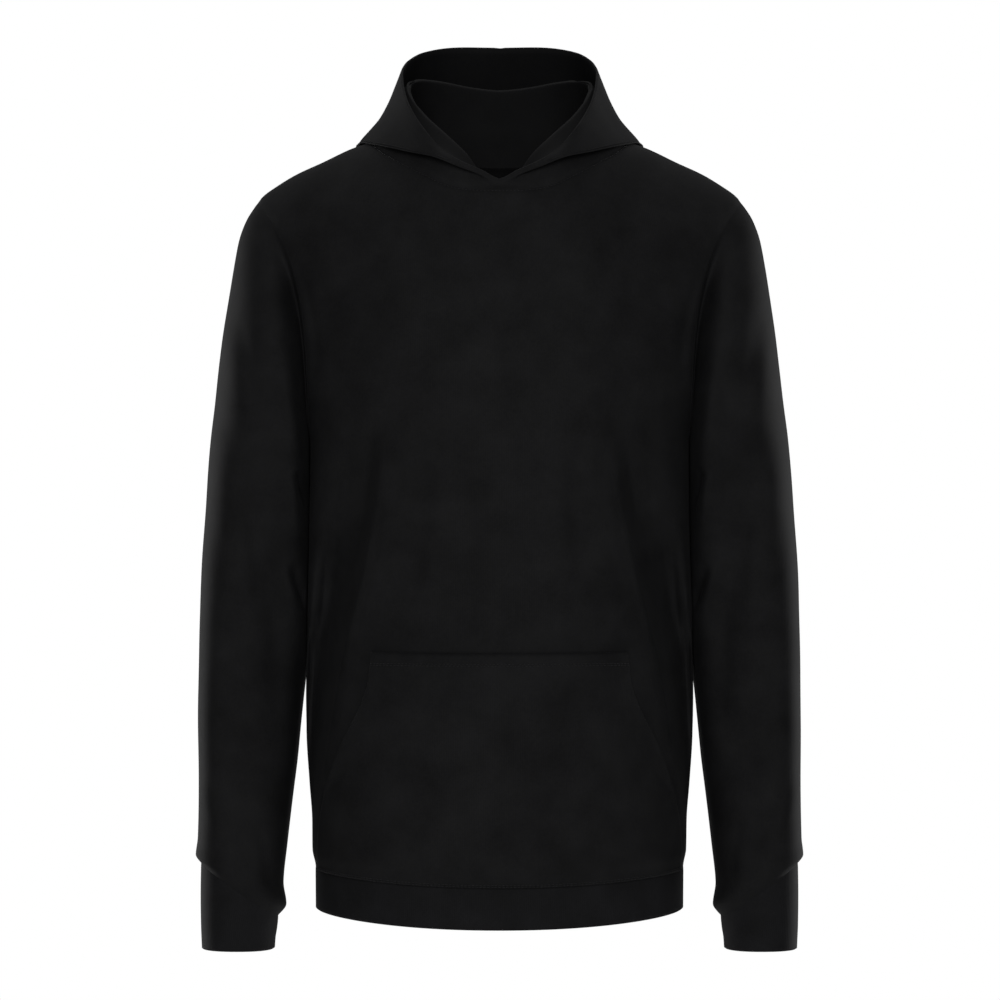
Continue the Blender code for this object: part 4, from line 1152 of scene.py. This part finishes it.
def sew_together(front, back, arms, hoods, band, wrists):
    """All seams, in the order in which they share corners."""
    low, top = LOWER_ROWS, front.points.shape[0] - 1
    last = {"front": front.points.shape[1] - 1, "back": back.points.shape[1] - 1}
    middle = {side: count // 2 for side, count in last.items()}
    neck = {side: PANEL_FINE * NECK_PARTS[side] for side in NECK_PARTS}
    for way, arm, half, wrist in zip((1, -1), arms, hoods, wrists):
        column = {side: last[side] if way > 0 else 0 for side in last}
        inward = (0, -way)
        rows = np.arange(low + 1)
        sew(edge(front, rows, column["front"], inward), edge(back, rows, column["back"], inward))
        along = np.arange(PANEL_FINE * SHOULDER_PARTS + 1)
        sew(
            edge(front, top, column["front"] - way * along, (-1, 0)),
            edge(back, top, column["back"] - way * along, (-1, 0)),
        )
        rows = np.arange(low, top + 1)
        down = np.arange(ARMHOLE_STEPS, -1, -1)
        sew(edge(front, rows, column["front"], inward), edge(arm, 0, down, (1, 0)))
        up = (ARMHOLE_STEPS + np.arange(ARMHOLE_STEPS + 1)) % (2 * ARMHOLE_STEPS)
        sew(edge(back, rows, column["back"], inward), edge(arm, 0, up, (1, 0)))
        along = np.arange(neck["front"] + 1)
        body_edge = edge(front, top, middle["front"] + way * along, (-1, 0))
        sew(body_edge, edge(half, 0, along, (1, 0)))
        along = np.arange(neck["back"] + 1)
        after = neck["front"] + neck["back"] - along
        body_edge = edge(back, top, middle["back"] + way * along, (-1, 0))
        sew(body_edge, edge(half, 0, after, (1, 0)))
        around = np.arange(2 * ARMHOLE_STEPS)
        end = arm.points.shape[0] - 1
        sew(edge(arm, end, around, (-1, 0)), edge(wrist, 0, around, (1, 0)))
        share_corner(
            (front, (low, column["front"])),
            (back, (low, column["back"])),
            (arm, (0, ARMHOLE_STEPS)),
            out=np.array([0.0, 0.0, -1.0]),
        )
        share_corner((front, (top, column["front"])), (back, (top, column["back"])), (arm, (0, 0)))
        neck_front = (front, (top, middle["front"] + way * neck["front"]))
        neck_back = (back, (top, middle["back"] + way * neck["back"]))
        share_corner(neck_front, neck_back, (half, (0, neck["front"])))
        rows = np.arange(half.points.shape[0])
        for column in (0, half.points.shape[1] - 1):
            square_to_middle(half, (rows, column))
    for cloth, side in ((front, "front"), (back, "back")):
        square_to_middle(cloth, (top, middle[side]))

    count = front.points.shape[1]
    sew(edge(front, 0, np.arange(count), (1, 0)), edge(band, 0, np.arange(count), (1, 0)))
    columns = np.arange(back.points.shape[1])[::-1]
    ring_columns = (count - 1 + np.arange(len(columns))) % band.points.shape[1]
    sew(edge(back, 0, columns, (1, 0)), edge(band, 0, ring_columns, (1, 0)))


def square_to_middle(cloth, at):
    """Keeps the way out within the plane in which the two halves of the garment meet."""
    cloth.sew_edge(at, unit(cloth.out[at] * np.array([0.0, 1.0, 1.0])))


def finish_piece(thing, solid):
    """Rides and replaces a piece of cloth: it hangs from the root, and its solid is hidden."""
    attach(thing, "root")
    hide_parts(solid)
    places = np.empty(len(thing.data.loops) * 2, np.float32)
    thing.data.uv_layers[0].data.foreach_get("uv", places)


def main():
    """Makes the forms, sews them, lays the creases, sinks the seams and dresses every solid."""
    fleece = cloth_material("black sweatshirt knit", "#0C0C0D", "#19191A", WALE, COURSE, 0.07, 0.9)
    ribbing = cloth_material("black ribbed knit", "#0D0D0E", "#18181A", RIB, COURSE, 0.1, 0.6)
    # The inner faces' material is the same black fleece, with its two blacks darkened as painted shade for
    # the shade inside the garment. Its finer relief and longer fuzz are the brushed back's own.
    back_with_painted_shade = cloth_material("black fleece back with painted shade", "#060607", "#0E0E0F", WALE, COURSE, 0.03, 1.6)
    thread = thread_material()

    front, back = body_panel("front"), body_panel("back")
    left_arm = sleeve()
    left_hood = hood(front, back)
    band = hem_band(front, back)
    left_wrist = cuff(left_arm.points[-1])
    arms = (left_arm, left_arm.mirror())
    hoods = (left_hood, left_hood.mirror())
    wrists = (left_wrist, left_wrist.mirror())
    sew_together(front, back, arms, hoods, band, wrists)
    patch = pocket()

    crease_panel(front, "front")
    crease_panel(back, "back")
    for arm, half in zip(arms, hoods):
        crease_sleeve(arm)
        crease_hood(half)
    for cloth in (front, back, *arms, *hoods, band, *wrists):
        cloth.look_out()
    for panel in (front, back):
        panel.sink_seams({"first row": HEM_DIP_IN, "last row": 0.6, "first column": 0.4, "last column": 0.4})
    for arm, half, wrist in zip(arms, hoods, wrists):
        arm.sink_seams({"first row": 0.4, "last row": 0.2})
        half.sink_seams({"first row": 0.6})
        wrist.sink_seams({"first row": 0.2})
    band.sink_seams({"first row": HEM_DIP_IN})
    for cloth in (front, back, *arms, *hoods, band, *wrists):
        cloth.look_out()

    middle = {side: cloth.points.shape[1] // 2 for side, cloth in (("front", front), ("back", back))}
    neck = {
        side: slice(middle[side] - PANEL_FINE * count, middle[side] + PANEL_FINE * count + 1)
        for side, count in NECK_PARTS.items()
    }
    rows = {
        "pocket": twin(patch, "last row", 9.5) + twin(patch, "first row", 1.1),
        "back_hem": twin(back, "first row", 1.1),
    }
    for side, panel in (("front", front), ("back", back)):
        rows[f"{side}_neck"] = [stitch_row(*along_edge(panel, "last row", 1.4, neck[side]))]

    stitches = {}
    for name, made in rows.items():
        stitches[name] = stitching(f"stitches_{name}", made, thread)
        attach(stitches[name], "root")

    pieces = {"front": (front, "fleece", ["front_neck"])}
    pieces["back"] = (back, "fleece", ["back_neck", "back_hem"])
    for name, pair, slot in (("sleeve", arms, "fleece"), ("hood", hoods, "fleece"), ("cuff", wrists, "band")):
        for way, cloth in zip(("left", "right"), pair):
            pieces[f"{name}_{way}"] = (cloth, slot, [])
    pieces["hem_band"] = (band, "band", [])
    pieces["pocket"] = (patch, "fleece", ["pocket"])
    finish = {"fleece": fleece, "band": ribbing}
    for name, (cloth, slot, threads) in pieces.items():
        thing = wall(f"{name}_cloth", cloth, finish[slot], back_with_painted_shade)
        finish_piece(thing, name)

    paper_room()
    studio()


main()

bpy.context.scene.view_settings.view_transform = "Standard"
